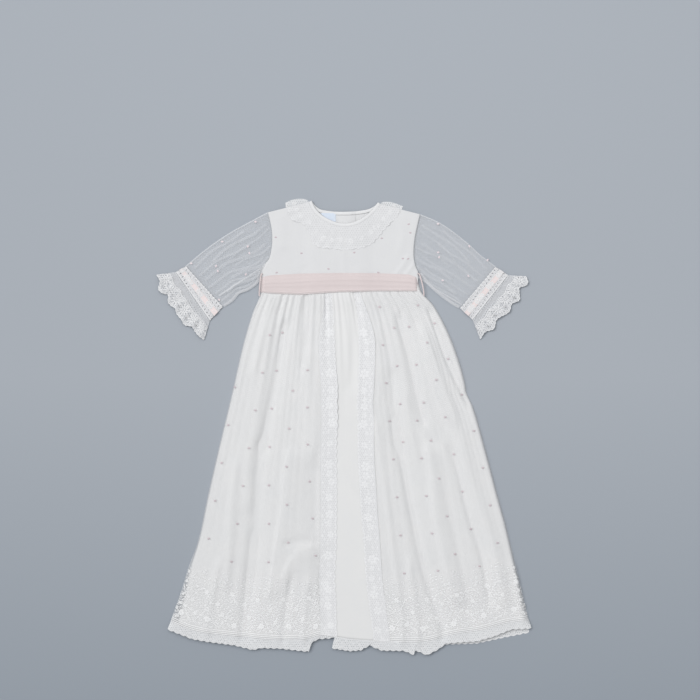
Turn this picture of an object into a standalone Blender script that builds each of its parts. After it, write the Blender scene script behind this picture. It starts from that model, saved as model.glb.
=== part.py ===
"""A christening gown laid out flat on its back, with its hem towards -Y.

Every cloth piece is a wall about a millimetre thick. It is made as a sewer would lay it: a flat
outline first, then the height at which the cloth lies on the pieces under it, with its gathers
and folds as soft ridges. Sleeves, cuff bands and cuff frills are flattened tubes, open at both
ends. Left and right are those of a person who looks at the front.

All sizes and tables are in millimetres. X runs to the right from the centre front and Y towards
the neck, both from the middle of the laid-out gown, and Z up from the surface that it lies on.
"""
import math

import bmesh
import bpy
from mathutils import Vector

MM = 0.001
GOWN = "christening_gown"

# The middle of the laid-out gown, which becomes the frame's origin.
MIDDLE = Vector((4.0, -0.67, 0.0))

# Walls and clearances.
GAP = 0.3
CLOTH = 1.2
NET = 1.0
LACE = 1.0
RIBBON = 1.0
EASE = 0.4

# The bodice lies on the back collar, the buttons and the back of the sash.
BODICE_LIFT = NET + GAP
LAP_LIFT = CLOTH + GAP
BACK_TOP = BODICE_LIFT + CLOTH
FRONT_BASE = BACK_TOP + GAP

# Waist: the seam's height, where the bodice and the skirt meet.
WAIST_Y = 228.8
WAIST_LEFT = -128.0
WAIST_RIGHT = 122.4

# Side seams and armholes from the waist up to the shoulder: x, y.
SIDE_LEFT = ((WAIST_LEFT, WAIST_Y), (-127.8, 240.0), (-128.3, 250.5))
SIDE_RIGHT = ((WAIST_RIGHT, WAIST_Y), (122.4, 238.0), (122.2, 246.8))
ARMHOLE_LEFT = ((-128.3, 250.5), (-126.0, 256.0), (-116.8, 266.0), (-111.6, 288.0),
                (-111.4, 309.8), (-114.0, 326.0), (-117.8, 341.6))
ARMHOLE_RIGHT = ((122.2, 246.8), (118.0, 256.0), (115.2, 274.0), (117.0, 300.0),
                 (121.0, 320.0), (125.4, 338.5))

ARMPIT_SHARE = 0.18

# Neck edges from the left to the right neck point: x, y.
NECK_FRONT = ((-48.0, 360.3), (-41.5, 347.5), (-32.2, 337.8), (-21.8, 331.2), (-8.3, 325.9),
              (7.7, 323.8), (23.5, 327.8), (36.8, 335.2), (47.5, 344.5), (54.0, 352.5),
              (58.1, 357.8))
NECK_BACK = ((-48.0, 360.3), (-42.0, 352.5), (-34.7, 347.0), (-21.0, 344.2), (-8.3, 342.9),
             (15.7, 343.0), (30.2, 344.5), (43.5, 347.2), (52.0, 351.5), (58.1, 357.8))
BINDING_WIDTH = 5.0
NECK_SHARES = (0.28, 0.72)
NECK_STEPS = 16
SHOULDER_STEPS = 4
BACK_NECK_STEPS = 8

# Outer edge of the front collar, from the left shoulder round to the right one: x, y.
COLLAR_FRONT = ((-85.5, 349.5), (-85.8, 336.0), (-77.8, 328.0), (-62.0, 322.0), (-51.5, 308.0),
                (-46.5, 291.5), (-34.6, 284.5), (-20.2, 283.2), (-2.6, 281.0), (16.6, 281.6),
                (37.4, 285.0), (50.0, 292.0), (58.2, 300.0), (67.8, 312.0), (80.6, 325.6),
                (91.8, 337.6), (94.0, 347.0))
# The back collar shows past the shoulder, and is plain underneath: x, y.
COLLAR_BACK_LEFT_END = ((-55.0, 361.5), (-67.4, 363.7), (-80.5, 361.5), (-90.0, 357.1))
COLLAR_BACK_LEFT = ((-90.0, 357.1), (-88.0, 345.0), (-70.0, 322.0), (-38.0, 308.0), (8.0, 304.0))
COLLAR_BACK_RIGHT_END = ((63.7, 357.5), (76.0, 358.6), (86.1, 356.3), (98.2, 351.5))
COLLAR_BACK_RIGHT = ((98.2, 351.5), (92.0, 338.0), (76.0, 322.0), (48.0, 308.0), (22.0, 304.0))
COLLAR_WAVES = 13
COLLAR_WAVE_HEIGHT = 2.6
# The waves are uneven round the neck: their mean share of the height, its swing, beats, start.
COLLAR_UNEVEN = (0.75, 0.25, 5.0 * math.pi, 0.7)
COLLAR_SHELF = 0.15
# The back collar starts a little way down from each shoulder: shares of the back neck.
COLLAR_BACK_START = 0.03
COLLAR_BACK_COLUMNS = 12
COLLAR_BACK_ROWS = 4

# Back opening: the left half laps over the right one.
LAP_LEFT_EDGE = 22.0
LAP_RIGHT_EDGE = 8.0
LAP_RAMP = (-8.0, 3.0)
LAP_SHELF = (-66.0, -42.0, 28.0, 54.0)
OPENING_X = 15.0
BUTTON_RADIUS = 4.5
BUTTON_TAPER = 0.92
BUTTON_SIDES = 14
BUTTON_THICK = 1.0
BUTTONS_Y = (332.0, 298.0, 264.0)
LABEL_X = (-33.5, -9.5)
LABEL_Y = (319.0, 340.5)

# Skirt: side edges from the waist to the hem, and the line where the hem lace is sewn: x, y.
SKIRT_LEFT = ((WAIST_LEFT, WAIST_Y), (-129.0, 214.0), (-142.0, 181.8), (-154.6, 137.6),
              (-177.0, 41.6), (-196.2, -35.2), (-213.8, -112.0), (-229.8, -188.8),
              (-253.0, -258.0), (-273.0, -311.0))
SKIRT_RIGHT = ((WAIST_RIGHT, WAIST_Y), (126.8, 215.0), (145.6, 194.0), (166.0, 156.0),
               (180.0, 118.4), (202.2, 41.6), (224.6, -35.2), (245.4, -112.0),
               (263.0, -188.8), (284.0, -258.0), (299.0, -309.0))
HEM_SEAM = ((-273.0, -311.0), (-239.0, -325.0), (-172.0, -335.0), (-97.0, -341.0),
            (-54.0, -339.0), (-34.0, -334.0), (-12.0, -336.5), (10.0, -340.0), (75.0, -344.0),
            (136.0, -343.0), (180.0, -332.0), (220.0, -326.0), (265.0, -314.0), (299.0, -309.0))
# Lower outline of the hem laces: x, y.
HEM_LEFT = ((-277.8, -325.4), (-239.4, -340.4), (-217.0, -344.6), (-172.2, -350.0),
            (-141.8, -357.6), (-97.0, -357.9), (-52.2, -360.8), (-49.0, -348.0),
            (-38.6, -341.0), (-16.0, -339.0))
HEM_CENTRE = ((-15.4, -357.4), (10.2, -359.4), (34.2, -359.8), (78.0, -359.4))
HEM_RIGHT = ((48.0, -352.5), (64.6, -359.0), (99.8, -359.4), (115.8, -366.0), (117.4, -358.2),
             (136.2, -364.9), (154.2, -356.8), (167.0, -348.6), (191.0, -346.6),
             (215.8, -343.0), (242.2, -336.4), (271.0, -326.6), (303.0, -323.6))
HEM_BACK = ((-276.0, -322.0), (-172.0, -336.0), (-97.0, -338.0), (-30.0, -336.0),
            (10.0, -340.0), (75.0, -346.0), (136.0, -351.0), (215.8, -348.5), (262.0, -338.5),
            (300.0, -331.0))
HEM_SCALLOP = 14.5
HEM_SCALLOP_DEPTH = 1.5
# Stretch of the lining's hem that the centre lace is sewn to, in shares of its width.
HEM_CENTRE_REACH = (0.45, 0.64)

# Rows of every skirt layer, as fractions of the way from the waist to the hem.
SKIRT_ROWS = (0.0, 0.024, 0.044, 0.07, 0.1, 0.16, 0.24, 0.34, 0.46, 0.59, 0.72, 0.86, 1.0)
LIFT_ROWS = (0.044, 0.1)
SHELF_END = 0.16
BACK_COLUMNS = 16
LINING_SIDE_COLUMNS = 6

# Free edges of the net panels: row fraction, left edge, right edge, as fractions of the width.
FREE_EDGES = ((0.0, 0.457, 0.577), (0.1, 0.464, 0.556), (0.24, 0.464, 0.531),
              (0.34, 0.461, 0.526), (0.59, 0.453, 0.534), (0.78, 0.450, 0.541),
              (1.0, 0.464, 0.568))
# The lining is narrower than the net at the hem: row fraction, left side, right side.
LINING_SIDES = ((0.0, 0.0, 1.0), (0.6, 0.0, 1.0), (1.0, 0.042, 0.985))
# The back is cut a little shorter than the front: share of the front's length.
BACK_LENGTH = 0.978

# Gathers of the net panels and of the lining between them.
GATHERS_LEFT = 13
GATHERS_RIGHT = 12
GATHERS_CENTRE = 3
COLUMNS_A_GATHER = 3
LINING_SHOWN = (0.455, 0.58)
LINING_RAMP = 0.015
LINING_RAMP_DELAY = 0.4
LINING_GATHERS = 0.45
GATHER_HEIGHT = 2.5
# Each gather has its own height and length: the mean share, its swing, beat and start.
GATHER_UNEVEN_HEIGHT = (0.78, 0.22, 2.4, 0.0)
GATHER_UNEVEN_LENGTH = (1.0, 0.35, 1.7, 0.6)
GATHER_SHAPE = ((0.0, 0.0), (1 / 3, 1.0), (2 / 3, 0.5), (1.0, 0.0))
GATHER_FADE = ((0.0, 0.2), (0.044, 0.85), (0.07, 1.0), (0.1, 0.75), (0.16, 0.4), (0.24, 0.2),
               (0.34, 0.1), (1.0, 0.05))

# The sash presses the cloth: row fraction, the most that gathers and folds may rise there.
PRESSED = ((0.0, 0.5), (0.044, 1.2), (0.1, 9.0))

# How a long fold starts and ends, in shares of the length, and how its half width grows.
FOLD_START_RAMP = 0.15
FOLD_END_RAMP = 0.2
FOLD_SPREAD = ((0.0, 0.6), (1.0, 1.2))

# Long folds of the skirt: place at the top and at the hem as fractions of the width, where the
# fold starts and ends as fractions of the length, its height and its half width in millimetres.
FOLDS = (
    # top, hem, start, end, height, half width
    (0.035, 0.050, 0.10, 0.90, 1.6, 9.0),
    (0.090, 0.115, 0.20, 1.20, 2.0, 11.0),
    (0.152, 0.200, -0.1, 1.20, 4.2, 10.0),
    (0.215, 0.290, 0.25, 1.20, 1.6, 12.0),
    (0.290, 0.240, 0.00, 0.75, 3.4, 9.0),
    (0.345, 0.370, 0.30, 1.20, 2.2, 14.0),
    (0.400, 0.420, 0.05, 0.60, 1.6, 9.0),
    (0.640, 0.625, 0.05, 1.20, 2.0, 10.0),
    (0.610, 0.755, 0.30, 1.20, 3.8, 11.0),
    (0.700, 0.700, 0.05, 0.55, 2.0, 9.0),
    (0.765, 0.830, 0.00, 0.85, 3.6, 10.0),
    (0.830, 0.880, 0.25, 1.20, 2.2, 12.0),
    (0.905, 0.935, 0.05, 0.90, 2.4, 9.0),
    (0.960, 0.975, 0.05, 0.70, 1.4, 7.0),
)

# Lace bands down the free edges.
BAND_WIDTH = 24.0
BAND_COLUMNS = (0.0, 0.55, 1.0)
BAND_START = 0.044
BAND_MARGIN = 4.0
BAND_RAMP = 12.0
SIDE_RAMP = 8.0
BAND_SCALLOPS = 36
BAND_SCALLOP_DEPTH = 3.6

# Sash: y of its top and bottom edges at fractions of its length, and x of its ends at the
# bottom and at the top edge, where it folds round the side seams.
SASH_EDGES = ((0.0, 237.6, 213.6), (0.06, 240.8, 212.2), (0.25, 243.6, 209.8),
              (0.5, 244.6, 214.2), (0.75, 244.2, 215.6), (0.94, 242.2, 215.6), (1.0, 237.0, 215.6))
SASH_LEFT = (-130.0, -128.9)
SASH_RIGHT = (127.6, 123.4)
SASH_COLUMNS = 28
SASH_ROWS = 5
# From this share of its width the sash comes down from the skirt onto the bodice.
SASH_STEP = 0.6
SASH_CREASE = 0.5
SASH_CREASES = 2.5
SASH_CREASE_DRIFT = (0.4, 5.0)
# Where it turns round the side seams: the bend's two columns, its drop and its outward lean.
SASH_BEND = (0.004, 0.016)
SASH_BEND_DROP = 0.8
SASH_BEND_LEAN = 0.8
# Thread loops: name, side, how far they stand off, and their upper and lower ends: x, y, z.
LOOPS = (
    ("belt_loop_left", -1, 3.6, (-126.4, 243.5, 5.2), (-131.8, 208.0, 4.4)),
    ("belt_loop_right", 1, 5.6, (120.6, 244.0, 5.2), (134.6, 208.0, 4.4)),
)
LOOP_RADIUS = 0.7
LOOP_ARCH = 1.7
LOOP_STEPS = 12

# Sleeves: top edge and under edge, from the armhole to the cuff band: x, y.
SLEEVE_LEFT_TOP = ((-118.1, 341.6), (-146.6, 326.4), (-178.6, 308.8), (-213.8, 284.8),
                   (-249.0, 256.0))
SLEEVE_LEFT_UNDER = ((-128.6, 250.5), (-131.9, 241.0), (-135.0, 230.0), (-149.6, 218.0),
                     (-166.0, 211.0), (-175.0, 200.5), (-189.6, 190.6))
SLEEVE_RIGHT_TOP = ((125.7, 338.5), (157.4, 324.4), (200.6, 292.8), (221.4, 273.6),
                    (246.0, 255.0))
SLEEVE_RIGHT_UNDER = ((122.5, 246.8), (131.5, 236.0), (142.6, 223.0), (157.8, 209.6),
                      (176.2, 196.0), (189.0, 188.4))
# Cuffs: corners of the band's outer edge, then the frill's outer edge from top to under side.
BAND_LEFT = ((-265.0, 246.4), (-210.6, 168.6))
BAND_RIGHT = ((266.4, 241.4), (209.4, 169.6))
FRILL_LEFT = ((-297.6, 240.0), (-291.0, 217.0), (-276.0, 196.4), (-261.0, 177.4),
              (-247.0, 161.0), (-232.0, 149.4), (-219.0, 137.4))
FRILL_RIGHT = ((296.8, 236.0), (291.0, 217.0), (279.0, 199.0), (263.0, 178.6), (247.0, 162.0),
               (232.0, 148.4), (220.4, 138.6))
FRILL_SCALLOPS = 6
FRILL_SCALLOP_DEPTH = 5.0
FRILL_WAVES = 7
FRILL_WAVE_HEIGHT = 2.4
SLEEVE_STATIONS = (0.0, 0.14, 0.28, 0.42, 0.56, 0.7, 0.84, 1.0)
SLEEVE_EDGE = 0.03
SLEEVE_ROWS = (0.0, 0.08, 0.2, 0.36, 0.54, 0.72, 0.87, 1.0)
SLEEVE_RISE = ((0.0, 2.7), (0.2, 4.4), (0.54, 5.2), (0.87, 4.2), (1.0, 3.2))
SLEEVE_FLOOR = ((0.0, BODICE_LIFT), (0.08, BODICE_LIFT * 0.7), (0.36, 0.0), (1.0, 0.0))
SLEEVE_PUFF = 0.8
# How high the layers stand at a tube's two flattened edges, as a share of its height inside.
TUBE_EDGE = 0.45
CUFF_HEIGHT = 3.2
FRILL_HEIGHT = 3.0
CUFF_ROWS = (0.0, 0.5, 1.0)
CUFF_STATIONS = (0.0, 0.04, 0.2, 0.35, 0.5, 0.65, 0.8, 0.96, 1.0)

# Finishes: red, green, blue, roughness.
FINISHES = {
    "white_batiste": (0.76, 0.77, 0.78, 0.85),
    "dotted_net": (0.80, 0.80, 0.81, 0.90),
    "white_lace": (0.84, 0.84, 0.84, 0.90),
    "pink_ribbon": (0.72, 0.62, 0.62, 0.55),
    "white_satin": (0.80, 0.80, 0.81, 0.40),
    "plain_label": (0.62, 0.68, 0.76, 0.60),
    "white_thread": (0.78, 0.76, 0.76, 0.80),
    "button_shell": (0.82, 0.82, 0.80, 0.25),
}


def clear_scene():
    """Remove every object that the file holds."""
    for item in list(bpy.data.objects):
        bpy.data.objects.remove(item, do_unlink=True)


def finish(name):
    """Return the named finish as a material, made on its first use."""
    material = bpy.data.materials.get(name)
    if material is None:
        red, green, blue, roughness = FINISHES[name]
        material = bpy.data.materials.new(name)
        material.use_nodes = True
        shader = material.node_tree.nodes["Principled BSDF"]
        shader.inputs["Base Color"].default_value = (red, green, blue, 1.0)
        shader.inputs["Roughness"].default_value = roughness
        shader.inputs["Metallic"].default_value = 0.0
        material.diffuse_color = (red, green, blue, 1.0)
    return material


def clamp(value, low=0.0, high=1.0):
    return max(low, min(high, value))


def ease(value):
    """Turn a straight 0 to 1 ramp into one that starts and ends softly."""
    value = clamp(value)
    return value * value * (3.0 - 2.0 * value)


def look_up(rows, key, column=1):
    """Read a column of a table at any key, in straight steps between its rows."""
    for low, high in zip(rows, rows[1:]):
        if key <= high[0]:
            share = clamp((key - low[0]) / (high[0] - low[0]))
            return low[column] + (high[column] - low[column]) * share
    return rows[-1][column]


def uneven(rule, number):
    """Read a slow wave: its mean, swing, beat and start are the rule."""
    mean, swing, beat, start = rule
    return mean + swing * math.sin(beat * number + start)


def path(points):
    """Return a smooth curve through the points, as a function of 0 to 1 along its length."""
    knots = [Vector(point) for point in points]
    lengths = [0.0]
    for low, high in zip(knots, knots[1:]):
        lengths.append(lengths[-1] + (high - low).length)
    padded = [knots[0] * 2 - knots[1], *knots, knots[-1] * 2 - knots[-2]]

    def at(share):
        distance = clamp(share) * lengths[-1]
        step = next((i for i in range(len(knots) - 2) if distance <= lengths[i + 1]),
                    len(knots) - 2)
        span = lengths[step + 1] - lengths[step]
        t = (distance - lengths[step]) / span
        before, start, end, after = padded[step:step + 4]
        before_span = (start - before).length
        after_span = (after - end).length
        leave = ((end - start) / span + (start - before) / before_span) * span / 2
        arrive = ((after - end) / after_span + (end - start) / span) * span / 2
        return (start * (2 * t ** 3 - 3 * t ** 2 + 1) + leave * (t ** 3 - 2 * t ** 2 + t)
                + end * (3 * t ** 2 - 2 * t ** 3) + arrive * (t ** 3 - t ** 2))

    return at


def joined(*stretches):
    """Run several curves one after another: each stretch is its end share and its curve."""
    def at(share):
        start = 0.0
        for end, curve in stretches:
            if share <= end or end == 1.0:
                return curve((clamp(share) - start) / (end - start))
            start = end

    return at


def beside(curve, distance):
    """Return the curve moved sideways: to its right, seen along its run, for a distance > 0."""
    step = 0.004

    def at(share):
        run = curve(min(share + step, 1.0)) - curve(max(share - step, 0.0))
        aside = Vector((run.y, -run.x)).normalized()
        return curve(share) + aside * distance

    return at


def part_of(curve, start, end):
    """Return the stretch of a curve from one share of its length to another."""
    return lambda share: curve(start + (end - start) * share)


def patch(bottom, top, left, right):
    """Fill four edge curves that share their corners with a smooth flat patch."""
    def at(u, v):
        corners = ((1 - u) * (1 - v) * bottom(0.0) + u * (1 - v) * bottom(1.0)
                   + (1 - u) * v * top(0.0) + u * v * top(1.0))
        return ((1 - v) * bottom(u) + v * top(u)
                + (1 - u) * left(v) + u * right(v) - corners)

    return at


def shares(count):
    return [step / count for step in range(count + 1)]


def steps_between(start, end, count):
    """Return even steps from start up to, but without, end."""
    return [start + (end - start) * step / count for step in range(count)]


def curve_y(points, x):
    """Read the height of an outline at x, in straight steps between its points."""
    return look_up(points, x)


class Lay:
    """Where a cloth lies: the points of its underside on a grid of columns and rows."""

    def __init__(self, columns, rows, place):
        self.columns = list(columns)
        self.rows = list(rows)
        self.points = [[Vector(place(u, v)) for u in self.columns] for v in self.rows]

    def at(self, u, v):
        """Return the underside's point at any column and row share."""
        i, across = self.cell(self.columns, u)
        j, along = self.cell(self.rows, v)
        near = self.points[j][i].lerp(self.points[j][i + 1], across)
        far = self.points[j + 1][i].lerp(self.points[j + 1][i + 1], across)
        return near.lerp(far, along)

    @staticmethod
    def cell(stations, share):
        index = next((i for i in range(len(stations) - 2) if share <= stations[i + 1]),
                     len(stations) - 2)
        return index, clamp((share - stations[index]) / (stations[index + 1] - stations[index]))


def add_object(name, mesh, finish_name, smooth_angle=50.0):
    """Put a mesh in the gown's collection as one named piece."""
    mesh.materials.append(finish(finish_name))
    item = bpy.data.objects.new(name, mesh)
    bpy.data.collections[GOWN].objects.link(item)
    mesh.shade_smooth()
    mesh.set_sharp_from_angle(angle=math.radians(smooth_angle))
    return item


def make_wall(name, finish_name, lay, thickness, grow=None):
    """Make a cloth wall: a grid laid on the underside's points, closed by a lifted copy.

    grow gives the direction of the wall at a column and row share, where it isn't straight up.
    """
    wide = len(lay.columns) - 1
    long = len(lay.rows) - 1
    sheet = bmesh.new()
    bmesh.ops.create_grid(sheet, x_segments=wide, y_segments=long, size=1.0)
    lifts = {}
    for vertex in sheet.verts:
        i = round((vertex.co.x + 1.0) / 2.0 * wide)
        j = round((vertex.co.y + 1.0) / 2.0 * long)
        vertex.co = (lay.points[j][i] - MIDDLE) * MM
        direction = grow(lay.columns[i], lay.rows[j]) if grow else Vector((0.0, 0.0, 1.0))
        lifts[vertex.co.to_tuple(7)] = direction * thickness * MM
    grown = bmesh.ops.extrude_face_region(sheet, geom=sheet.faces[:])
    for item in grown["geom"]:
        if isinstance(item, bmesh.types.BMVert):
            item.co += lifts[item.co.to_tuple(7)]
    bmesh.ops.recalc_face_normals(sheet, faces=sheet.faces[:])
    mesh = bpy.data.meshes.new(name)
    sheet.to_mesh(mesh)
    sheet.free()
    return add_object(name, mesh, finish_name)


def make_tube(name, finish_name, stations, rows, skin):
    """Loft a flattened tube, open at both ends, from rings of points.

    skin gives the point for a station, a row, a layer (+1 upper, -1 under) and inner or not.
    """
    sheet = bmesh.new()
    rings = []
    for v in rows:
        pair = []
        for inner in (False, True):
            around = [(u, 1) for u in stations] + [(u, -1) for u in reversed(stations)]
            pair.append([sheet.verts.new((skin(u, v, layer, inner) - MIDDLE) * MM)
                         for u, layer in around])
        rings.append(pair)
    count = len(rings[0][0])
    for near, far in zip(rings, rings[1:]):
        for skin_index in (0, 1):
            for k in range(count):
                after = (k + 1) % count
                sheet.faces.new((near[skin_index][k], near[skin_index][after],
                                 far[skin_index][after], far[skin_index][k]))
    for ring in (rings[0], rings[-1]):
        for k in range(count):
            after = (k + 1) % count
            sheet.faces.new((ring[0][k], ring[0][after], ring[1][after], ring[1][k]))
    bmesh.ops.recalc_face_normals(sheet, faces=sheet.faces[:])
    mesh = bpy.data.meshes.new(name)
    sheet.to_mesh(mesh)
    sheet.free()
    return add_object(name, mesh, finish_name)


def scallop(share, count, depth):
    """Return how far a scalloped edge falls short of its lobes' tips."""
    return depth * (1.0 - abs(math.sin(math.pi * count * share)))


def lap_shelf(x):
    """Return the front's rise over the lapped back opening and the label."""
    start, full, down, end = LAP_SHELF
    return LAP_LIFT * clamp(min((x - start) / (full - start), (end - x) / (end - down)))


def lap_rise(x):
    """Return the rise of the left back half over the edge of the right one."""
    start, full = LAP_RAMP
    return LAP_LIFT * clamp((x - start) / (full - start))


def skirt_lift(v):
    """Return the skirt back's rise at the waist, where the sash passes under it."""
    flat, low = LIFT_ROWS
    return BODICE_LIFT * clamp((low - v) / (low - flat))


def skirt_shelf(x, v):
    """Return the skirt front's rise at the waist over the lapped back opening."""
    return lap_shelf(x) * clamp(1.0 - v / SHELF_END)


def skirt_plan():
    """Return the flat map of the skirt: 0 to 1 across, and 0 to 1 from the waist to the hem."""
    waist = path(((WAIST_LEFT, WAIST_Y), (0.0, WAIST_Y), (WAIST_RIGHT, WAIST_Y)))
    plan = patch(waist, path(HEM_SEAM), path(SKIRT_LEFT), path(SKIRT_RIGHT))

    def at(u, v):
        point = plan(u, v)
        return Vector((point.x, point.y - GAP * (1.0 - v), 0.0))

    return at


def gather_rise(phase, v, fade=1.0):
    """Return the height of the gathers: each differs a little in height and in length."""
    number = int(phase)
    share = phase - number
    height = GATHER_HEIGHT * fade * uneven(GATHER_UNEVEN_HEIGHT, number)
    reach = uneven(GATHER_UNEVEN_LENGTH, number)
    return height * look_up(GATHER_SHAPE, share) * look_up(GATHER_FADE, v / reach)


def fold_rise(u, v, width):
    """Return the height of the long folds at a place on the skirt of that width."""
    rise = 0.0
    for top, hem, start, end, height, half in FOLDS:
        length = ease((v - start) / FOLD_START_RAMP) * ease((end - v) / FOLD_END_RAMP)
        away = abs(u - (top + (hem - top) * v)) * width
        spread = half * look_up(FOLD_SPREAD, v)
        rise = max(rise, height * length * ease(1.0 - away / spread))
    return rise


def skirt_width(plan, v):
    return (plan(1.0, v) - plan(0.0, v)).length


def make_skirt():
    """Make the back, the lining, the two net panels and their laces."""
    plan = skirt_plan()

    def place_back(u, v):
        return plan(u, v * BACK_LENGTH) + Vector((0, 0, skirt_lift(v)))

    back = Lay(shares(BACK_COLUMNS), SKIRT_ROWS, place_back)
    make_wall("skirt_back", "white_batiste", back, CLOTH)

    lining = make_lining(plan)
    left = make_net_panel("skirt_net_left", plan, GATHERS_LEFT, 0)
    right = make_net_panel("skirt_net_right", plan, GATHERS_RIGHT, 1)
    make_lace_band("lace_band_left", left, 1)
    make_lace_band("lace_band_right", right, -1)
    make_hem_lace("hem_lace_left", left, HEM_LEFT, 60, (0.0, 1.0))
    make_hem_lace("hem_lace_right", right, HEM_RIGHT, 60, (0.0, 1.0))
    make_hem_lace("hem_lace_centre", lining, HEM_CENTRE, 24, HEM_CENTRE_REACH)
    make_hem_lace("hem_lace_back", back, HEM_BACK, 48, (0.0, 1.0))


def make_lining(plan):
    """Make the lining: gathered where it shows between the net panels, plain under them."""
    start, end = LINING_SHOWN
    columns = steps_between(0.0, start, LINING_SIDE_COLUMNS)
    columns += steps_between(start, end, COLUMNS_A_GATHER * GATHERS_CENTRE)
    columns += steps_between(end, 1.0, LINING_SIDE_COLUMNS) + [1.0]

    def place(u, v):
        low = look_up(LINING_SIDES, v, 1)
        high = look_up(LINING_SIDES, v, 2)
        across = low + (high - low) * u
        point = plan(across, v)
        phase = clamp((u - start) / (end - start)) * GATHERS_CENTRE
        rise = gather_rise(phase, v, LINING_GATHERS)
        for from_edge in (across - look_up(FREE_EDGES, v, 1), look_up(FREE_EDGES, v, 2) - across):
            rise *= ease(from_edge / LINING_RAMP - LINING_RAMP_DELAY)
        base = skirt_lift(v) + CLOTH + EASE + skirt_shelf(point.x, v)
        return point + Vector((0, 0, base + rise))

    lay = Lay(columns, SKIRT_ROWS, place)
    make_wall("skirt_lining_front", "white_batiste", lay, CLOTH)
    return lay


def make_net_panel(name, plan, gathers, side):
    """Make one net panel, from its side seam (0) to its free edge (1)."""
    def place(s, v):
        free = look_up(FREE_EDGES, v, 1 + side)
        u = s * free if side == 0 else 1.0 - s * (1.0 - free)
        point = plan(u, v)
        width = skirt_width(plan, v)
        from_edge = (free if side == 0 else 1.0 - free) * width * (1.0 - s)
        from_seam = (free if side == 0 else 1.0 - free) * width * s
        calm = ease((from_edge - BAND_WIDTH - BAND_MARGIN) / BAND_RAMP)
        calm *= ease(from_seam / SIDE_RAMP)
        rise = (gather_rise(s * gathers, v) + fold_rise(u, v, width)) * calm
        rise = min(rise, look_up(PRESSED, v))
        base = skirt_lift(v) + 2 * CLOTH + 2 * EASE + skirt_shelf(point.x, v)
        return point + Vector((0, 0, base + rise))

    lay = Lay(shares(gathers * COLUMNS_A_GATHER), SKIRT_ROWS, place)
    make_wall(name, "dotted_net", lay, NET)
    return lay


def make_lace_band(name, panel, inward):
    """Lay a scalloped lace band on a net panel along its free edge."""
    def place(t, v):
        edge = panel.at(1.0, v)
        width = (panel.at(0.0, v) - edge).length
        out = t * (BAND_WIDTH + BAND_SCALLOP_DEPTH) - BAND_WIDTH
        if t == 1.0:
            out -= scallop(v, BAND_SCALLOPS, BAND_SCALLOP_DEPTH)
        point = panel.at(1.0 + min(out, 0.0) / width, v)
        beyond = Vector((inward * max(out, 0.0), 0, 0))
        return point + beyond + Vector((0, 0, NET + EASE))

    rows = [BAND_START + (1.0 - BAND_START) * share for share in shares(BAND_SCALLOPS * 2)]
    make_wall(name, "white_lace", Lay(BAND_COLUMNS, rows, place), LACE)


def make_hem_lace(name, panel, outline, count, reach):
    """Hang a scalloped edging from a panel's hem, in the plane of the panel."""
    length = (panel.at(reach[1], 1.0) - panel.at(reach[0], 1.0)).length
    lobes = round(length / HEM_SCALLOP)

    def place(s, t):
        share = reach[0] + (reach[1] - reach[0]) * s
        seam = panel.at(share, 1.0)
        end_x = outline[0][0] + (outline[-1][0] - outline[0][0]) * s
        if panel.at(reach[0], 1.0).x > panel.at(reach[1], 1.0).x:
            end_x = outline[-1][0] + (outline[0][0] - outline[-1][0]) * s
        low = Vector((end_x, curve_y(outline, end_x) + scallop(s, lobes, HEM_SCALLOP_DEPTH),
                      seam.z))
        return (seam + Vector((0, -GAP, 0))).lerp(low, t)

    make_wall(name, "white_lace", Lay(shares(count), (0.0, 1.0), place), LACE)


def neck_runs():
    return path(NECK_FRONT), path(NECK_BACK)


def shoulder_and_neck(neck, left_end, right_end):
    """Return a bodice's top edge: left shoulder, neck and right shoulder."""
    edge = beside(neck, BINDING_WIDTH + GAP)
    left = path((left_end, edge(0.0)))
    right = path((edge(1.0), right_end))
    start, end = NECK_SHARES
    return joined((start, left), (end, edge), (1.0, right))


def make_bodice():
    """Make the front, the two lapped back halves, the label and the buttons."""
    neck_front, neck_back = neck_runs()
    side_left = joined((ARMPIT_SHARE, path(SIDE_LEFT)), (1.0, path(ARMHOLE_LEFT)))
    side_right = joined((ARMPIT_SHARE, path(SIDE_RIGHT)), (1.0, path(ARMHOLE_RIGHT)))
    waist = path(((WAIST_LEFT, WAIST_Y), (0.0, WAIST_Y), (WAIST_RIGHT, WAIST_Y)))
    rows = steps_between(0.0, ARMPIT_SHARE, 2) + [
        1.0 - (1.0 - ARMPIT_SHARE) * u for u in reversed(SLEEVE_STATIONS)]

    top = shoulder_and_neck(neck_front, ARMHOLE_LEFT[-1], ARMHOLE_RIGHT[-1])
    plan = patch(waist, top, side_left, side_right)

    def place_front(u, v):
        point = plan(u, v)
        return Vector((point.x, point.y, FRONT_BASE + lap_shelf(point.x)))

    start, end = NECK_SHARES
    columns = steps_between(0.0, start, SHOULDER_STEPS) + steps_between(
        start, end, NECK_STEPS) + steps_between(end, 1.0, SHOULDER_STEPS) + [1.0]
    make_wall("bodice_front", "dotted_net", Lay(columns, rows, place_front), CLOTH)

    edge = beside(neck_back, BINDING_WIDTH + GAP)
    make_back_half("bodice_back_left", edge, side_left, WAIST_LEFT, LAP_LEFT_EDGE, rows)
    make_back_half("bodice_back_right", edge, side_right, WAIST_RIGHT, LAP_RIGHT_EDGE, rows)
    make_label()
    for number, y in enumerate(BUTTONS_Y, 1):
        make_button(f"button_{number}", y)


def share_at_x(curve, x):
    """Return how far along a curve that runs towards +X it reaches x."""
    low, high = 0.0, 1.0
    for _ in range(30):
        middle = (low + high) / 2
        low, high = (middle, high) if curve(middle).x < x else (low, middle)
    return low


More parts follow.
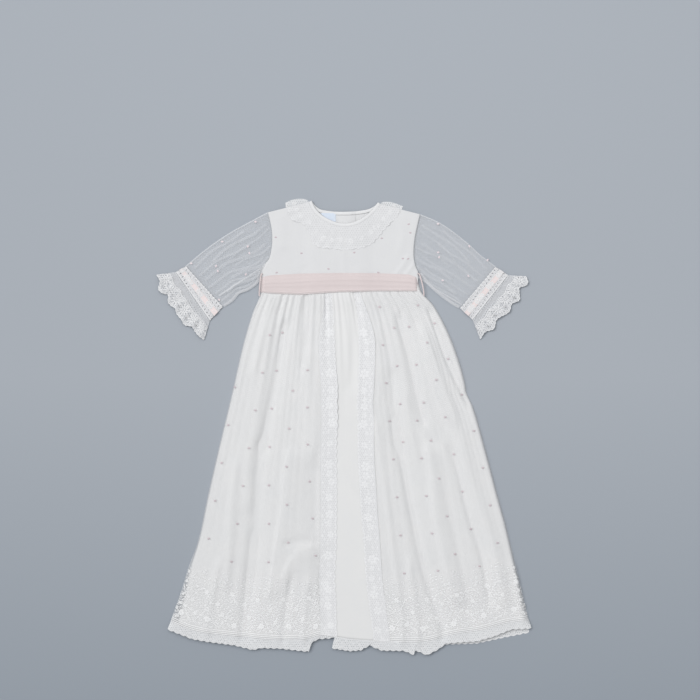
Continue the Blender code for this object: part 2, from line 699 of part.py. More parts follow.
def make_back_half(name, neck_edge, side, waist_x, lap_x, rows):
    """Make one half of the bodice back, from its side seam to its edge at the opening."""
    on_left = waist_x < 0
    neck = part_of(neck_edge, 0.0 if on_left else 1.0, share_at_x(neck_edge, lap_x))
    top = joined((0.5, path((tuple(side(1.0)), tuple(neck(0.0))))), (1.0, neck))
    bottom = path(((waist_x, WAIST_Y), (lap_x, WAIST_Y)))
    opening = path(((lap_x, WAIST_Y), tuple(neck(1.0))))
    plan = patch(bottom, top, side, opening)

    def place(u, v):
        point = plan(u, v)
        return Vector((point.x, point.y, BODICE_LIFT + (lap_rise(point.x) if on_left else 0.0)))

    columns = steps_between(0.0, 0.5, SHOULDER_STEPS) + steps_between(
        0.5, 1.0, BACK_NECK_STEPS) + [1.0]
    make_wall(name, "dotted_net", Lay(columns, rows, place), CLOTH)


def make_label():
    """Make the small bare label inside the back neck."""
    def place(u, v):
        x = LABEL_X[0] + (LABEL_X[1] - LABEL_X[0]) * u
        y = LABEL_Y[0] + (LABEL_Y[1] - LABEL_Y[0]) * v
        return Vector((x, y, BACK_TOP + GAP))

    make_wall("neck_label", "plain_label", Lay((0.0, 1.0), (0.0, 1.0), place), RIBBON)


def make_button(name, y):
    """Make one flat button of the back opening, under the lap, on the surface."""
    disc = bmesh.new()
    bmesh.ops.create_cone(disc, cap_ends=True, segments=BUTTON_SIDES,
                          radius1=BUTTON_RADIUS * MM, radius2=BUTTON_RADIUS * BUTTON_TAPER * MM,
                          depth=BUTTON_THICK * MM)
    bmesh.ops.translate(disc, verts=disc.verts[:],
                        vec=(Vector((OPENING_X, y, BUTTON_THICK / 2)) - MIDDLE) * MM)
    mesh = bpy.data.meshes.new(name)
    disc.to_mesh(mesh)
    disc.free()
    add_object(name, mesh, "button_shell")


def make_binding(name, curve, base, shelf, count):
    """Bind a stretch of the neck edge with a narrow folded strip."""
    def place(u, t):
        point = beside(curve, BINDING_WIDTH * t)(u)
        return Vector((point.x, point.y, base + shelf(point.x)))

    make_wall(name, "white_satin", Lay(shares(count), (0.0, 1.0), place), CLOTH)


def make_neck():
    """Make the bindings and the gathered collar."""
    neck_front, neck_back = neck_runs()
    edge = beside(neck_back, BINDING_WIDTH + GAP)
    left = part_of(neck_back, 0.0, share_at_x(edge, LAP_LEFT_EDGE))
    right = part_of(neck_back, share_at_x(edge, LAP_RIGHT_EDGE), 1.0)
    make_binding("neck_binding_front", neck_front, FRONT_BASE, lap_shelf, NECK_STEPS)
    make_binding("neck_binding_back_left", left, BODICE_LIFT, lap_rise, BACK_NECK_STEPS)
    make_binding("neck_binding_back_right", right, BODICE_LIFT, lambda x: 0.0, BACK_NECK_STEPS)

    inner = beside(neck_front, BINDING_WIDTH + GAP)
    outer = path(COLLAR_FRONT)
    base = FRONT_BASE + CLOTH + EASE

    def place_front(u, t):
        wave = 0.5 - 0.5 * math.cos(2 * math.pi * COLLAR_WAVES * u)
        rise = COLLAR_WAVE_HEIGHT * wave * uneven(COLLAR_UNEVEN, u) * t
        point = inner(u).lerp(outer(u), t)
        shelf = lap_shelf(point.x) + (LAP_LIFT - lap_shelf(point.x)) * COLLAR_SHELF
        return Vector((point.x, point.y, base + shelf + rise))

    columns = shares(COLLAR_WAVES * 4)
    make_wall("collar_front", "white_lace", Lay(columns, (0.0, 0.5, 1.0), place_front), LACE)

    seam = beside(neck_back, BINDING_WIDTH + GAP)
    for side, end, edge in (("left", COLLAR_BACK_LEFT_END, COLLAR_BACK_LEFT),
                            ("right", COLLAR_BACK_RIGHT_END, COLLAR_BACK_RIGHT)):
        start = COLLAR_BACK_START if side == "left" else 1.0 - COLLAR_BACK_START
        neck = part_of(seam, start, share_at_x(seam, edge[-1][0]))
        far = path(((neck(1.0).x, neck(1.0).y), edge[-1]))
        end_curve = path((tuple(neck(0.0)),) + end)
        plan = patch(neck, path(edge), end_curve, far)

        def place_back(u, t, plan=plan):
            point = plan(u, t)
            return Vector((point.x, point.y, 0.0))

        make_wall(f"collar_back_{side}", "white_lace",
                  Lay(shares(COLLAR_BACK_COLUMNS), shares(COLLAR_BACK_ROWS), place_back), LACE)


def make_sash():
    """Make the ribbon sash, in front and behind, and the thread loops that carry it."""
    bend, flat = SASH_BEND
    columns = [0.0, bend] + steps_between(flat, 1.0 - flat, SASH_COLUMNS)
    columns += [1.0 - flat, 1.0 - bend, 1.0]
    floor = BODICE_LIFT + 2 * CLOTH + 2 * EASE + PRESSED[1][1] + NET + EASE
    top = FRONT_BASE + CLOTH + EASE

    def plan(u, t):
        left = SASH_LEFT[0] + (SASH_LEFT[1] - SASH_LEFT[0]) * t
        right = SASH_RIGHT[0] + (SASH_RIGHT[1] - SASH_RIGHT[0]) * t
        upper = look_up(SASH_EDGES, u, 1)
        lower = look_up(SASH_EDGES, u, 2)
        return Vector((left + (right - left) * u, lower + (upper - lower) * t, 0.0))

    def place(u, t):
        point = plan(round(u) if u in (bend, 1.0 - bend) else u, t)
        if u in (0.0, 1.0):
            return point + Vector((0, 0, NET + GAP))
        rise = floor + (top - floor) * ease((t - SASH_STEP) / (1.0 - SASH_STEP))
        drift, beat = SASH_CREASE_DRIFT
        crease = abs(math.sin(math.pi * (SASH_CREASES * t + drift * math.sin(beat * u))))
        rise += lap_shelf(point.x) + SASH_CREASE * crease
        if u in (bend, 1.0 - bend):
            rise -= SASH_BEND_DROP
        return point + Vector((0, 0, rise))

    def grow(u, _t):
        out = -1.0 if u < 0.5 else 1.0
        if u in (0.0, 1.0):
            return Vector((out, 0, 0))
        if u in (bend, 1.0 - bend):
            return Vector((SASH_BEND_LEAN * out, 0, SASH_BEND_LEAN))
        return Vector((0, 0, 1.0))

    make_wall("sash_front", "pink_ribbon", Lay(columns, shares(SASH_ROWS), place), RIBBON, grow)

    def place_back(u, t):
        point = plan(u, t)
        return point + Vector((RIBBON * (2 * u - 1), 0, 0))

    make_wall("sash_back", "pink_ribbon", Lay(shares(8), (0.0, 1.0), place_back), RIBBON)
    for name, out, reach, upper, lower in LOOPS:
        make_loop(name, out * reach, Vector(upper), Vector(lower))


def make_loop(name, reach, upper, lower):
    """Make one thread loop, which stands off the side seam round the sash."""
    data = bpy.data.curves.new(name, "CURVE")
    data.dimensions = "3D"
    data.bevel_depth = LOOP_RADIUS * MM
    data.bevel_resolution = 2
    data.use_fill_caps = True
    spline = data.splines.new("POLY")
    steps = shares(LOOP_STEPS)
    spline.points.add(len(steps) - 1)
    for point, share in zip(spline.points, steps):
        along = (1.0 - math.cos(math.pi * share)) / 2
        bow = max(math.sin(math.pi * share), 0.0)
        place = lower.lerp(upper, along) + Vector((reach * bow ** 0.5, 0, LOOP_ARCH * bow))
        point.co = (*((place - MIDDLE) * MM), 1.0)
    item = bpy.data.objects.new(name, data)
    bpy.data.collections[GOWN].objects.link(item)
    data.materials.append(finish("white_thread"))


def make_sleeve(side, top_edge, under_edge, armhole, band, frill):
    """Make one sleeve with its cuff band and scalloped frill, as three flattened tubes."""
    out = -1 if side == "left" else 1
    hole = [(x + out * GAP, y) for x, y in reversed(armhole)]
    cuff = path((top_edge[-1], under_edge[-1]))
    sleeve_plan = patch(path(hole), cuff, path(top_edge), path(under_edge))
    stations = [0.0, SLEEVE_EDGE, *SLEEVE_STATIONS[1:-1], 1.0 - SLEEVE_EDGE, 1.0]
    make_flat_tube(f"sleeve_{side}", "dotted_net", sleeve_plan, SLEEVE_ROWS, stations,
                   SLEEVE_RISE, SLEEVE_FLOOR, SLEEVE_PUFF)

    start = beside(cuff, -out * GAP)
    band_edge = path(band)
    band_plan = patch(start, band_edge, path((tuple(start(0.0)), band[0])),
                      path((tuple(start(1.0)), band[1])))
    flat = ((0.0, CUFF_HEIGHT), (1.0, CUFF_HEIGHT))
    ground = ((0.0, 0.0), (1.0, 0.0))
    make_flat_tube(f"cuff_band_{side}", "white_lace", band_plan, CUFF_ROWS, CUFF_STATIONS, flat,
                   ground, 0.0)

    seam = beside(band_edge, -out * GAP)
    tips = path(frill)

    def edge(u):
        point = tips(u)
        back = (seam(u) - point).normalized()
        return point + back * scallop(u, FRILL_SCALLOPS, FRILL_SCALLOP_DEPTH)

    frill_plan = patch(seam, edge, path((tuple(seam(0.0)), tuple(edge(0.0)))),
                       path((tuple(seam(1.0)), tuple(edge(1.0)))))
    make_flat_tube(f"cuff_frill_{side}", "white_lace", frill_plan, CUFF_ROWS,
                   shares(FRILL_SCALLOPS * 4), ((0.0, CUFF_HEIGHT), (1.0, FRILL_HEIGHT)), ground,
                   FRILL_WAVE_HEIGHT, FRILL_WAVES)


def make_flat_tube(name, finish_name, plan, rows, stations, rise, floor, puff, waves=2):
    """Make a flattened tube on a flat plan: 0 to 1 from its top edge to its under edge."""
    ends = (stations[0], stations[-1])

    def skin(u, v, layer, inner):
        width = (plan(1.0, v) - plan(0.0, v)).length
        inset = (NET + GAP) / width
        shown = clamp(u, inset, 1.0 - inset) if inner else u
        point = plan(shown, v)
        height = look_up(rise, v)
        swell = 0.5 - 0.5 * math.cos(2 * math.pi * waves * u)
        extra = puff * swell * v if waves > 2 else puff * swell * math.sin(math.pi * v)
        if layer < 0:
            extra = 0.0
        middle = look_up(floor, v) + height / 2
        half = height / 2 + extra - (NET if inner else 0.0)
        if u in ends:
            half *= TUBE_EDGE
        return Vector((point.x, point.y, middle + layer * half))

    make_tube(name, finish_name, stations, rows, skin)


def main():
    clear_scene()
    if GOWN not in bpy.data.collections:
        bpy.context.scene.collection.children.link(bpy.data.collections.new(GOWN))
    make_skirt()
    make_bodice()
    make_neck()
    make_sash()
    make_sleeve("left", SLEEVE_LEFT_TOP, SLEEVE_LEFT_UNDER, ARMHOLE_LEFT, BAND_LEFT, FRILL_LEFT)
    make_sleeve("right", SLEEVE_RIGHT_TOP, SLEEVE_RIGHT_UNDER, ARMHOLE_RIGHT, BAND_RIGHT,
                FRILL_RIGHT)


main()
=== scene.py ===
# %% [markdown]
# # A christening gown in its real cloth
#
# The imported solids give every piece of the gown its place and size. This lesson puts real
# cloth in those places: thin net over batiste, lace that is stitched together from small
# satin pads, a sheer ribbon sash. Everything is worked out in millimetres on the table that
# the gown lies on. X runs to the right, Y from the hem to the neck and Z up.

# %% Load the frame
import math

import bpy
import numpy as np
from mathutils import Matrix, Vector
from mathutils.bvhtree import BVHTree


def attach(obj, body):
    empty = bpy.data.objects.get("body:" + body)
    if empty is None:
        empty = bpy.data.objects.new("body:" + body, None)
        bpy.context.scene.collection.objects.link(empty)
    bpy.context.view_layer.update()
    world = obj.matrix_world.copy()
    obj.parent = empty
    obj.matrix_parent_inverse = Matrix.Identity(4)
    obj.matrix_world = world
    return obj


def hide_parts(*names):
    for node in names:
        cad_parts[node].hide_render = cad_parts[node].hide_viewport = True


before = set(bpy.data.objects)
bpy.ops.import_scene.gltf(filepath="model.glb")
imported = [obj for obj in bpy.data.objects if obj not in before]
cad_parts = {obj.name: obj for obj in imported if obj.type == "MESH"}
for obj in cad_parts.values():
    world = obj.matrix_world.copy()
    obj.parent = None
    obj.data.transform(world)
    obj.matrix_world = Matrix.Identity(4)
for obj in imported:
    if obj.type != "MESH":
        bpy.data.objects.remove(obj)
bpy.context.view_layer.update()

# %% [markdown]
# ## Numbers that every piece shares
#
# The solids were drawn in millimetres from the centre front, so this file keeps the same
# numbers and only turns them into the frame's metres when a mesh is made. Small helpers read
# the short tables and shape the cloth: a look-up, a soft ramp, a wave and a ridge.

# %% Units and small helpers
MM = 0.001
MIDDLE = np.array((4.0, -0.67, 0.0))  # the frame's origin, in table millimetres


def to_frame(points):
    """Turn table millimetres into the frame's metres."""
    return (np.asarray(points, float) - MIDDLE) * MM


def ease(value):
    """Turn a straight 0 to 1 ramp into one that starts and ends softly."""
    value = np.clip(value, 0.0, 1.0)
    return value * value * (3.0 - 2.0 * value)


def look_up(rows, key, column=1):
    """Read a column of a short table, in straight steps between its rows."""
    return np.interp(key, [row[0] for row in rows], [row[column] for row in rows])


def even(count):
    """Even shares from 0 to 1."""
    return np.linspace(0.0, 1.0, count)


def swell(turns):
    """A soft wave between 0 and 1, that starts each of its turns at 0."""
    return 0.5 - 0.5 * np.cos(math.tau * turns)


def bump(distance, left, right):
    """A soft ridge: 1 on its crest, falling off over its own width on either side."""
    width = np.where(distance < 0.0, left, right)
    return np.exp(-(distance / width) ** 2)


# %% [markdown]
# ## Curves and flat plans
#
# A sewer cuts along smooth lines through a few marks. `smooth` is that line. Four lines that
# meet at their ends bound a panel, and `patch` fills it with an even net of points, as a
# Coons patch does. NumPy works on whole rows of points at once, which keeps this fast.

# %% Curves
def smooth(points):
    """A smooth curve through the points, as a function of shares of its length."""
    knots = np.array(points, float)
    spans = np.linalg.norm(np.diff(knots, axis=0), axis=1)
    lengths = np.concatenate(([0.0], np.cumsum(spans)))
    slopes = np.diff(knots, axis=0) / spans[:, None]
    tangents = np.vstack((slopes[:1], (slopes[1:] + slopes[:-1]) / 2, slopes[-1:]))

    def at(share):
        distance = np.clip(share, 0.0, 1.0) * lengths[-1]
        i = np.clip(np.searchsorted(lengths, distance, side="right") - 1, 0, len(spans) - 1)
        t = ((distance - lengths[i]) / spans[i])[..., None]
        span = spans[i][..., None]
        return (knots[i] * (2 * t ** 3 - 3 * t ** 2 + 1)
                + tangents[i] * span * (t ** 3 - 2 * t ** 2 + t)
                + knots[i + 1] * (3 * t ** 2 - 2 * t ** 3)
                + tangents[i + 1] * span * (t ** 3 - t ** 2))

    return lambda share: at(np.atleast_1d(np.asarray(share, float)))


def joined(*stretches):
    """Run curves one after another: each stretch is its end share and its curve."""
    def at(share):
        share = np.atleast_1d(np.asarray(share, float))
        ends = [0.0] + [end for end, _ in stretches]
        points = np.zeros((len(share), 2))
        for start, (end, curve) in zip(ends, stretches):
            here = (share >= start) if start else np.ones(len(share), bool)
            points[here] = curve((share[here] - start) / (end - start))
        return points

    return at


def beside(curve, distance):
    """The curve moved sideways, to its right as it runs."""
    def at(share):
        share = np.clip(np.atleast_1d(np.asarray(share, float)), 0.0, 1.0)
        run = curve(np.minimum(share + 0.004, 1.0)) - curve(np.maximum(share - 0.004, 0.0))
        aside = np.stack((run[:, 1], -run[:, 0]), axis=1)
        return curve(share) + aside / np.linalg.norm(aside, axis=1)[:, None] * distance

    return at


def part_of(curve, start, end):
    return lambda share: curve(start + (end - start) * np.atleast_1d(share))


def line(start, end):
    return smooth((tuple(np.ravel(start)), tuple(np.ravel(end))))


def share_at_x(curve, x):
    """How far along a curve that runs towards +X it reaches x."""
    marks = even(2001)
    return float(np.interp(x, curve(marks)[:, 0], marks))


def between(near, far):
    """The flat plan of a strip: any share along it, and 0 to 1 from one curve to the other."""
    return lambda u, t: near(u) * (1.0 - t)[:, None] + far(u) * t[:, None]


def patch(bottom, top, left, right):
    """The flat plan of a panel that four curves bound."""
    corners = [bottom(0.0)[0], bottom(1.0)[0], top(0.0)[0], top(1.0)[0]]

    def at(u, v):
        u, v = (np.asarray(x, float)[:, None] for x in (u, v))
        blend = ((1 - u) * (1 - v) * corners[0] + u * (1 - v) * corners[1]
                 + (1 - u) * v * corners[2] + u * v * corners[3])
        return ((1 - v) * bottom(u[:, 0]) + v * top(u[:, 0])
                + (1 - u) * left(v[:, 0]) + u * right(v[:, 0]) - blend)

    return at


# %% [markdown]
# ## Laying cloth
#
# A laid cloth is a grid of points with a height at each one. `Cloth` keeps the grid, and a
# BVH tree answers one question quickly: how high is the cloth under this stitch? Anything
# that is sewn on later is dropped on to it from above, so it follows each fold. A Solidify
# modifier gives dense cloth its thickness. Net and lace stay single surfaces, because a
# see-through cloth with two faces would look twice as dense.

# %% Meshes from points
def new_object(name, points, faces, *finishes):
    """Make a named mesh object from table millimetres, shaded smooth."""
    mesh = bpy.data.meshes.new(name)
    mesh.from_pydata(to_frame(points).tolist(), [], faces)
    for material in finishes:
        mesh.materials.append(material)
    mesh.shade_smooth()
    item = bpy.data.objects.new(name, mesh)
    bpy.context.scene.collection.objects.link(item)
    return item


def wear(item, slot, *nodes):
    """Fasten a piece to the gown and hide the solids that it stands for. slot is not used."""
    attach(item, "root")
    if nodes:
        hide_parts(*nodes)
    return item


def ring_face(ring, k, sides):
    """The face between a ring of points and the next ring, from point k to its neighbour."""
    start, after = ring * sides, (k + 1) % sides
    return start + k, start + after, start + sides + after, start + sides + k


class Cloth:
    """A laid cloth: rows by columns of points on its underside, and its thickness."""

    def __init__(self, points, thickness, ring=False):
        self.points = points
        self.thickness = thickness
        rows, columns = points.shape[:2]
        index = np.arange(rows * columns).reshape(rows, columns)
        if ring:
            index = np.hstack((index, index[:, :1]))
        k = columns // 4
        across, along = points[0, k + 1] - points[0, k], points[1, k] - points[0, k]
        step = 1 if across[0] * along[1] - across[1] * along[0] > 0 else -1
        corners = (index[:-1, :-1], index[:-1, 1:], index[1:, 1:], index[1:, :-1])[::step]
        self.faces = np.stack(corners, axis=-1).reshape(-1, 4).tolist()
        self.tree = BVHTree.FromPolygons(points.reshape(-1, 3).tolist(), self.faces)

    def height(self, x, y):
        """The height of the cloth's upper face at each place on the table."""
        tops = []
        for place in zip(x, y):
            hit = self.tree.ray_cast(Vector((*place, 99.0)), Vector((0.0, 0.0, -1.0)))[0]
            if hit is None:
                hit = self.tree.find_nearest(Vector((*place, 4.0)))[0]
            tops.append(hit.z + self.thickness)
        return np.array(tops)

    def area(self):
        """The cloth's area in square metres, measured over its folds."""
        a = self.points[1:, 1:] - self.points[:-1, :-1]
        b = self.points[1:, :-1] - self.points[:-1, 1:]
        return float(np.linalg.norm(np.cross(a, b), axis=-1).sum() / 2 * MM * MM)

    def object(self, name, *finishes):
        """Make the cloth's mesh. A cloth with a thickness becomes a shell."""
        item = new_object(name, self.points.reshape(-1, 3), self.faces, *finishes)
        if self.thickness:
            shell = item.modifiers.new("thickness", "SOLIDIFY")
            shell.thickness = self.thickness * MM
            shell.offset = 1.0
        return item


def raised(flat, height):
    """Give each point of a flat plan its height."""
    return np.dstack((flat, np.broadcast_to(height, flat.shape[:2])))


# %% [markdown]
# ## Shader groups
#
# Four effects come back in every cloth here: crossed threads, the holes of net, satin stitch
# and the slight unevenness of real white. Each is one node group with named sockets. They
# put out only values that change over the surface; the shader itself stays in the material.

# %% Node helpers
def new_group(name, inputs, outputs):
    """Start a shader node group: inputs are names and first values, outputs are names."""
    tree = bpy.data.node_groups.new(name, "ShaderNodeTree")
    for socket, value in inputs.items():
        made = tree.interface.new_socket(socket, in_out="INPUT", socket_type="NodeSocketFloat")
        made.default_value = value
    for socket in outputs:
        tree.interface.new_socket(socket, in_out="OUTPUT", socket_type="NodeSocketFloat")
    given, out = (tree.nodes.new(kind) for kind in ("NodeGroupInput", "NodeGroupOutput"))
    return tree, given.outputs, out.inputs


def feed(tree, socket, value):
    """Link a socket to another socket, or set it to a number."""
    if isinstance(value, bpy.types.NodeSocket):
        tree.links.new(value, socket)
    else:
        socket.default_value = value


def math_node(tree, operation, *values, clamp=False):
    """One Math node, from numbers and sockets."""
    node = tree.nodes.new("ShaderNodeMath")
    node.operation = operation
    node.use_clamp = clamp
    for socket, value in zip(node.inputs, values):
        feed(tree, socket, value)
    return node.outputs[0]


def flat_place(tree):
    """The place on the laid cloth, in metres, as two values."""
    coordinates = tree.nodes.new("ShaderNodeTexCoord").outputs["Object"]
    split = tree.nodes.new("ShaderNodeSeparateXYZ")
    tree.links.new(coordinates, split.inputs[0])
    return split.outputs[0], split.outputs[1]


def wave_along(tree, x, y, degrees, pitch):
    """The cosine of a plane wave in the cloth's plane."""
    angle = math.radians(degrees)
    run = math_node(tree, "ADD", math_node(tree, "MULTIPLY", x, math.cos(angle)),
                    math_node(tree, "MULTIPLY", y, math.sin(angle)))
    turns = math_node(tree, "DIVIDE", math_node(tree, "MULTIPLY", run, math.tau), pitch)
    return math_node(tree, "COSINE", turns)


# %% Crossed threads, net holes, satin stitch and uneven white
def make_crossed_threads():
    tree, given, out = new_group("crossed threads", {"Pitch": 0.0006}, ["Height"])
    x, y = flat_place(tree)
    warp = wave_along(tree, x, y, 0, given["Pitch"])
    weft = wave_along(tree, x, y, 90, given["Pitch"])
    crossing = math_node(tree, "MULTIPLY", warp, weft)
    feed(tree, out["Height"], math_node(tree, "MULTIPLY_ADD", crossing, 0.5, 0.5))
    return tree


def make_net_holes():
    """Three waves at 60 degrees leave a honeycomb of round holes between its threads."""
    tree, given, out = new_group("net holes", {"Pitch": 0.0016, "Hole": 0.2}, ["Thread"])
    x, y = flat_place(tree)
    waves = [wave_along(tree, x, y, degrees, given["Pitch"]) for degrees in (30, 90, 150)]
    total = math_node(tree, "ADD", math_node(tree, "ADD", waves[0], waves[1]), waves[2])
    inside = math_node(tree, "SUBTRACT", total, given["Hole"])
    feed(tree, out["Thread"], math_node(tree, "MULTIPLY_ADD", inside, -0.9, 0.5, clamp=True))
    return tree


def make_satin_stitch():
    tree, given, out = new_group("satin stitch", {"Pitch": 0.0005, "Degrees": 0.0}, ["Height"])
    coordinates = tree.nodes.new("ShaderNodeTexCoord").outputs["Object"]
    turned = tree.nodes.new("ShaderNodeVectorRotate")
    turned.rotation_type = "Z_AXIS"
    tree.links.new(coordinates, turned.inputs["Vector"])
    feed(tree, turned.inputs["Angle"], math_node(tree, "RADIANS", given["Degrees"]))
    split = tree.nodes.new("ShaderNodeSeparateXYZ")
    tree.links.new(turned.outputs[0], split.inputs[0])
    thread = wave_along(tree, split.outputs[0], split.outputs[1], 0, given["Pitch"])
    feed(tree, out["Height"], math_node(tree, "MULTIPLY_ADD", thread, 0.5, 0.5))
    return tree


def make_uneven_white():
    tree, given, out = new_group("uneven white", {"Size": 0.03, "Strength": 1.0}, ["Mask"])
    noise = tree.nodes.new("ShaderNodeTexNoise")
    noise.inputs["Detail"].default_value = 3.0
    coordinates = tree.nodes.new("ShaderNodeTexCoord").outputs["Object"]
    tree.links.new(coordinates, noise.inputs["Vector"])
    feed(tree, noise.inputs["Scale"], math_node(tree, "DIVIDE", 1.0, given["Size"]))
    away = math_node(tree, "SUBTRACT", noise.outputs["Fac"], 0.5)
    feed(tree, out["Mask"], math_node(tree, "MULTIPLY_ADD", away, given["Strength"], 0.5,
                                      clamp=True))
    return tree


GROUPS = {"threads": make_crossed_threads(), "holes": make_net_holes(),
          "satin": make_satin_stitch(), "uneven": make_uneven_white()}
print("shader groups:", sorted(GROUPS))

# %% [markdown]
# ## Finishes
#
# A cloth material is a Principled shader with the group outputs fed in: unevenness mixes two
# near whites, the threads make a small bump, and net also drives Alpha, because light really
# passes through its holes. Values that don't change over the surface sit on the sockets.

# %% The cloth material
BUMP_STRENGTH = 0.6
CLOTH_SPECULAR = 0.25
UNEVENNESS = 1.6


def place_group(tree, name, **values):
    """Put a shader group in a material, with its own values."""
    node = tree.nodes.new("ShaderNodeGroup")
    node.node_tree = GROUPS[name]
    for socket, value in values.items():
        node.inputs[socket].default_value = value
    return node.outputs[0]


def mixed(tree, factor, dark, light):
    """A colour between a dark and a light one, by a factor socket."""
    tint = tree.nodes.new("ShaderNodeMix")
    tint.data_type = "RGBA"
    tree.links.new(factor, tint.inputs["Factor"])
    tint.inputs["A"].default_value = (*dark, 1.0)
    tint.inputs["B"].default_value = (*light, 1.0)
    return tint.outputs["Result"]


def cloth_finish(name, light, dark, roughness, relief, relief_depth, cover=None, sheen=0.0):
    """A woven, netted or stitched finish. relief and cover are a group's name and values.

    cover gives the least and the greatest alpha too, in front of its group.
    """
    material = bpy.data.materials.new(name)
    material.use_nodes = True
    tree = material.node_tree
    shader = tree.nodes["Principled BSDF"]
    shader.inputs["Roughness"].default_value = roughness
    shader.inputs["Sheen Weight"].default_value = sheen
    shader.inputs["Specular IOR Level"].default_value = CLOTH_SPECULAR
    uneven = place_group(tree, "uneven", Strength=UNEVENNESS)
    tree.links.new(mixed(tree, uneven, dark, light), shader.inputs["Base Color"])
    group, values = relief
    bump_node = tree.nodes.new("ShaderNodeBump")
    bump_node.inputs["Strength"].default_value = BUMP_STRENGTH
    bump_node.inputs["Distance"].default_value = relief_depth * MM
    tree.links.new(place_group(tree, group, **values), bump_node.inputs["Height"])
    tree.links.new(bump_node.outputs["Normal"], shader.inputs["Normal"])
    if cover:
        least, most, values = cover
        thread = place_group(tree, "holes", **values)
        alpha = math_node(tree, "MULTIPLY_ADD", thread, most - least, least)
        tree.links.new(alpha, shader.inputs["Alpha"])
    return material


# %% The gown's finishes
def open_finish(name, light, dark, roughness, holes, relief_depth, least, most):
    """A finish with holes, which shape both its relief and its alpha."""
    return cloth_finish(name, light, dark, roughness, ("holes", holes), relief_depth,
                        (least, most, holes))


FINE_THREADS = ("threads", {"Pitch": 0.0005})
SATIN_STITCH = ("satin", {"Pitch": 0.0005, "Degrees": 25.0})
DOT_STITCH = ("satin", {"Pitch": 0.0005, "Degrees": 80.0})
TWIST = ("satin", {"Pitch": 0.0006, "Degrees": 40.0})
THREADS = ("threads", {"Pitch": 0.0007})
NET_HOLES = {"Pitch": 0.0016, "Hole": 0.1}
BATISTE = cloth_finish("white batiste", (0.81, 0.805, 0.80), (0.79, 0.79, 0.79), 0.85, THREADS,
                       0.05)
NET = open_finish("dotted net", (0.90, 0.90, 0.91), (0.87, 0.875, 0.89), 0.8, NET_HOLES, 0.1,
                  0.08, 0.34)
SLEEVE_NET = open_finish("sleeve net", (0.90, 0.91, 0.93), (0.87, 0.88, 0.91), 0.8, NET_HOLES,
                         0.1, 0.08, 0.32)
LINED_NET = cloth_finish("net over batiste", (0.76, 0.76, 0.765), (0.74, 0.74, 0.75), 0.85,
                         ("holes", NET_HOLES), 0.12)
LACE_HOLES = {"Pitch": 0.0030, "Hole": 0.5}
LACE_GROUND = open_finish("lace ground", (0.81, 0.81, 0.82), (0.78, 0.78, 0.79), 0.85, LACE_HOLES,
                          0.06, 0.86, 1.0)
COLLAR_HOLES = {"Pitch": 0.0034, "Hole": 0.55}
COLLAR_LACE = open_finish("collar lace", (0.775, 0.775, 0.785), (0.735, 0.735, 0.745), 0.85,
                          COLLAR_HOLES, 0.06, 0.89, 1.0)
HEM_LACE = open_finish("hem lace", (0.80, 0.81, 0.82), (0.76, 0.77, 0.785), 0.85, LACE_HOLES,
                       0.10, 0.64, 0.96)
EYELETS = {"Pitch": 0.0034, "Hole": 1.0}
OPEN_LACE = open_finish("open lace", (0.70, 0.71, 0.73), (0.66, 0.67, 0.695), 0.85, EYELETS, 0.12,
                        0.46, 0.86)
SLEEVE_DOT = cloth_finish("pale sleeve dots", (0.86, 0.76, 0.78), (0.80, 0.70, 0.73), 0.7,
                          DOT_STITCH, 0.1)
CUFF_HOLES = {"Pitch": 0.0052, "Hole": 1.4}
CUFF_LACE = open_finish("cuff lace", (0.685, 0.685, 0.705), (0.645, 0.645, 0.665), 0.85,
                        CUFF_HOLES, 0.10, 0.40, 0.95)
EMBROIDERY = cloth_finish("white embroidery", (0.84, 0.84, 0.845), (0.80, 0.80, 0.81), 0.6,
                          SATIN_STITCH, 0.12, sheen=0.1)
# The lace bands' copy of the white embroidery, painted lighter: painted light that makes up for
# the shade among the band's stitches.
BAND_EMBROIDERY_PAINTED_LIGHTER = cloth_finish("band embroidery painted lighter", (0.885, 0.885, 0.89), (0.85, 0.85, 0.86), 0.6,
                               SATIN_STITCH, 0.12, sheen=0.1)
# The border's copy of the white embroidery, painted lighter still: painted light that makes up
# for the shade of the stitches and the net.
NET_EMBROIDERY_PAINTED_LIGHTER = cloth_finish("net embroidery painted lighter", (0.92, 0.92, 0.92), (0.88, 0.88, 0.885), 0.6,
                              SATIN_STITCH, 0.12, sheen=0.1)
DOT_THREAD = cloth_finish("pale pink dots", (0.665, 0.575, 0.60), (0.60, 0.525, 0.55), 0.7,
                          DOT_STITCH, 0.1)
RIBBON_WEAVE = {"Pitch": 0.0012, "Hole": 0.1}
RIBBON = cloth_finish("pink ribbon", (0.84, 0.745, 0.74), (0.81, 0.715, 0.71), 0.55, FINE_THREADS,
                      0.05, (0.70, 0.88, RIBBON_WEAVE), 0.3)
RIBBON_HEM = cloth_finish("sheer ribbon edge", (0.84, 0.76, 0.755), (0.81, 0.73, 0.73), 0.55,
                          FINE_THREADS, 0.05, (0.35, 0.60, RIBBON_WEAVE), 0.3)
CUFF_RIBBON = cloth_finish("pink cuff ribbon", (0.86, 0.755, 0.745), (0.82, 0.715, 0.71), 0.5,
                           FINE_THREADS, 0.05, sheen=0.3)
SATIN = cloth_finish("white satin", (0.79, 0.79, 0.795), (0.77, 0.77, 0.78), 0.45,
                     ("satin", {"Pitch": 0.0004, "Degrees": 0.0}), 0.04, sheen=0.3)
LABEL = cloth_finish("bare pale label", (0.72, 0.79, 0.89), (0.68, 0.75, 0.86), 0.6,
                     ("satin", {"Pitch": 0.0005, "Degrees": 90.0}), 0.05)
THREAD = cloth_finish("white thread", (0.88, 0.87, 0.86), (0.82, 0.81, 0.80), 0.75, TWIST, 0.1)
LOOP_THREAD = cloth_finish("pale pink thread", (0.84, 0.74, 0.73), (0.78, 0.68, 0.68), 0.75,
                           TWIST, 0.1)
SEAM_NET = open_finish("doubled net", (0.90, 0.90, 0.92), (0.86, 0.87, 0.89), 0.8, NET_HOLES, 0.1,
                       0.30, 0.55)
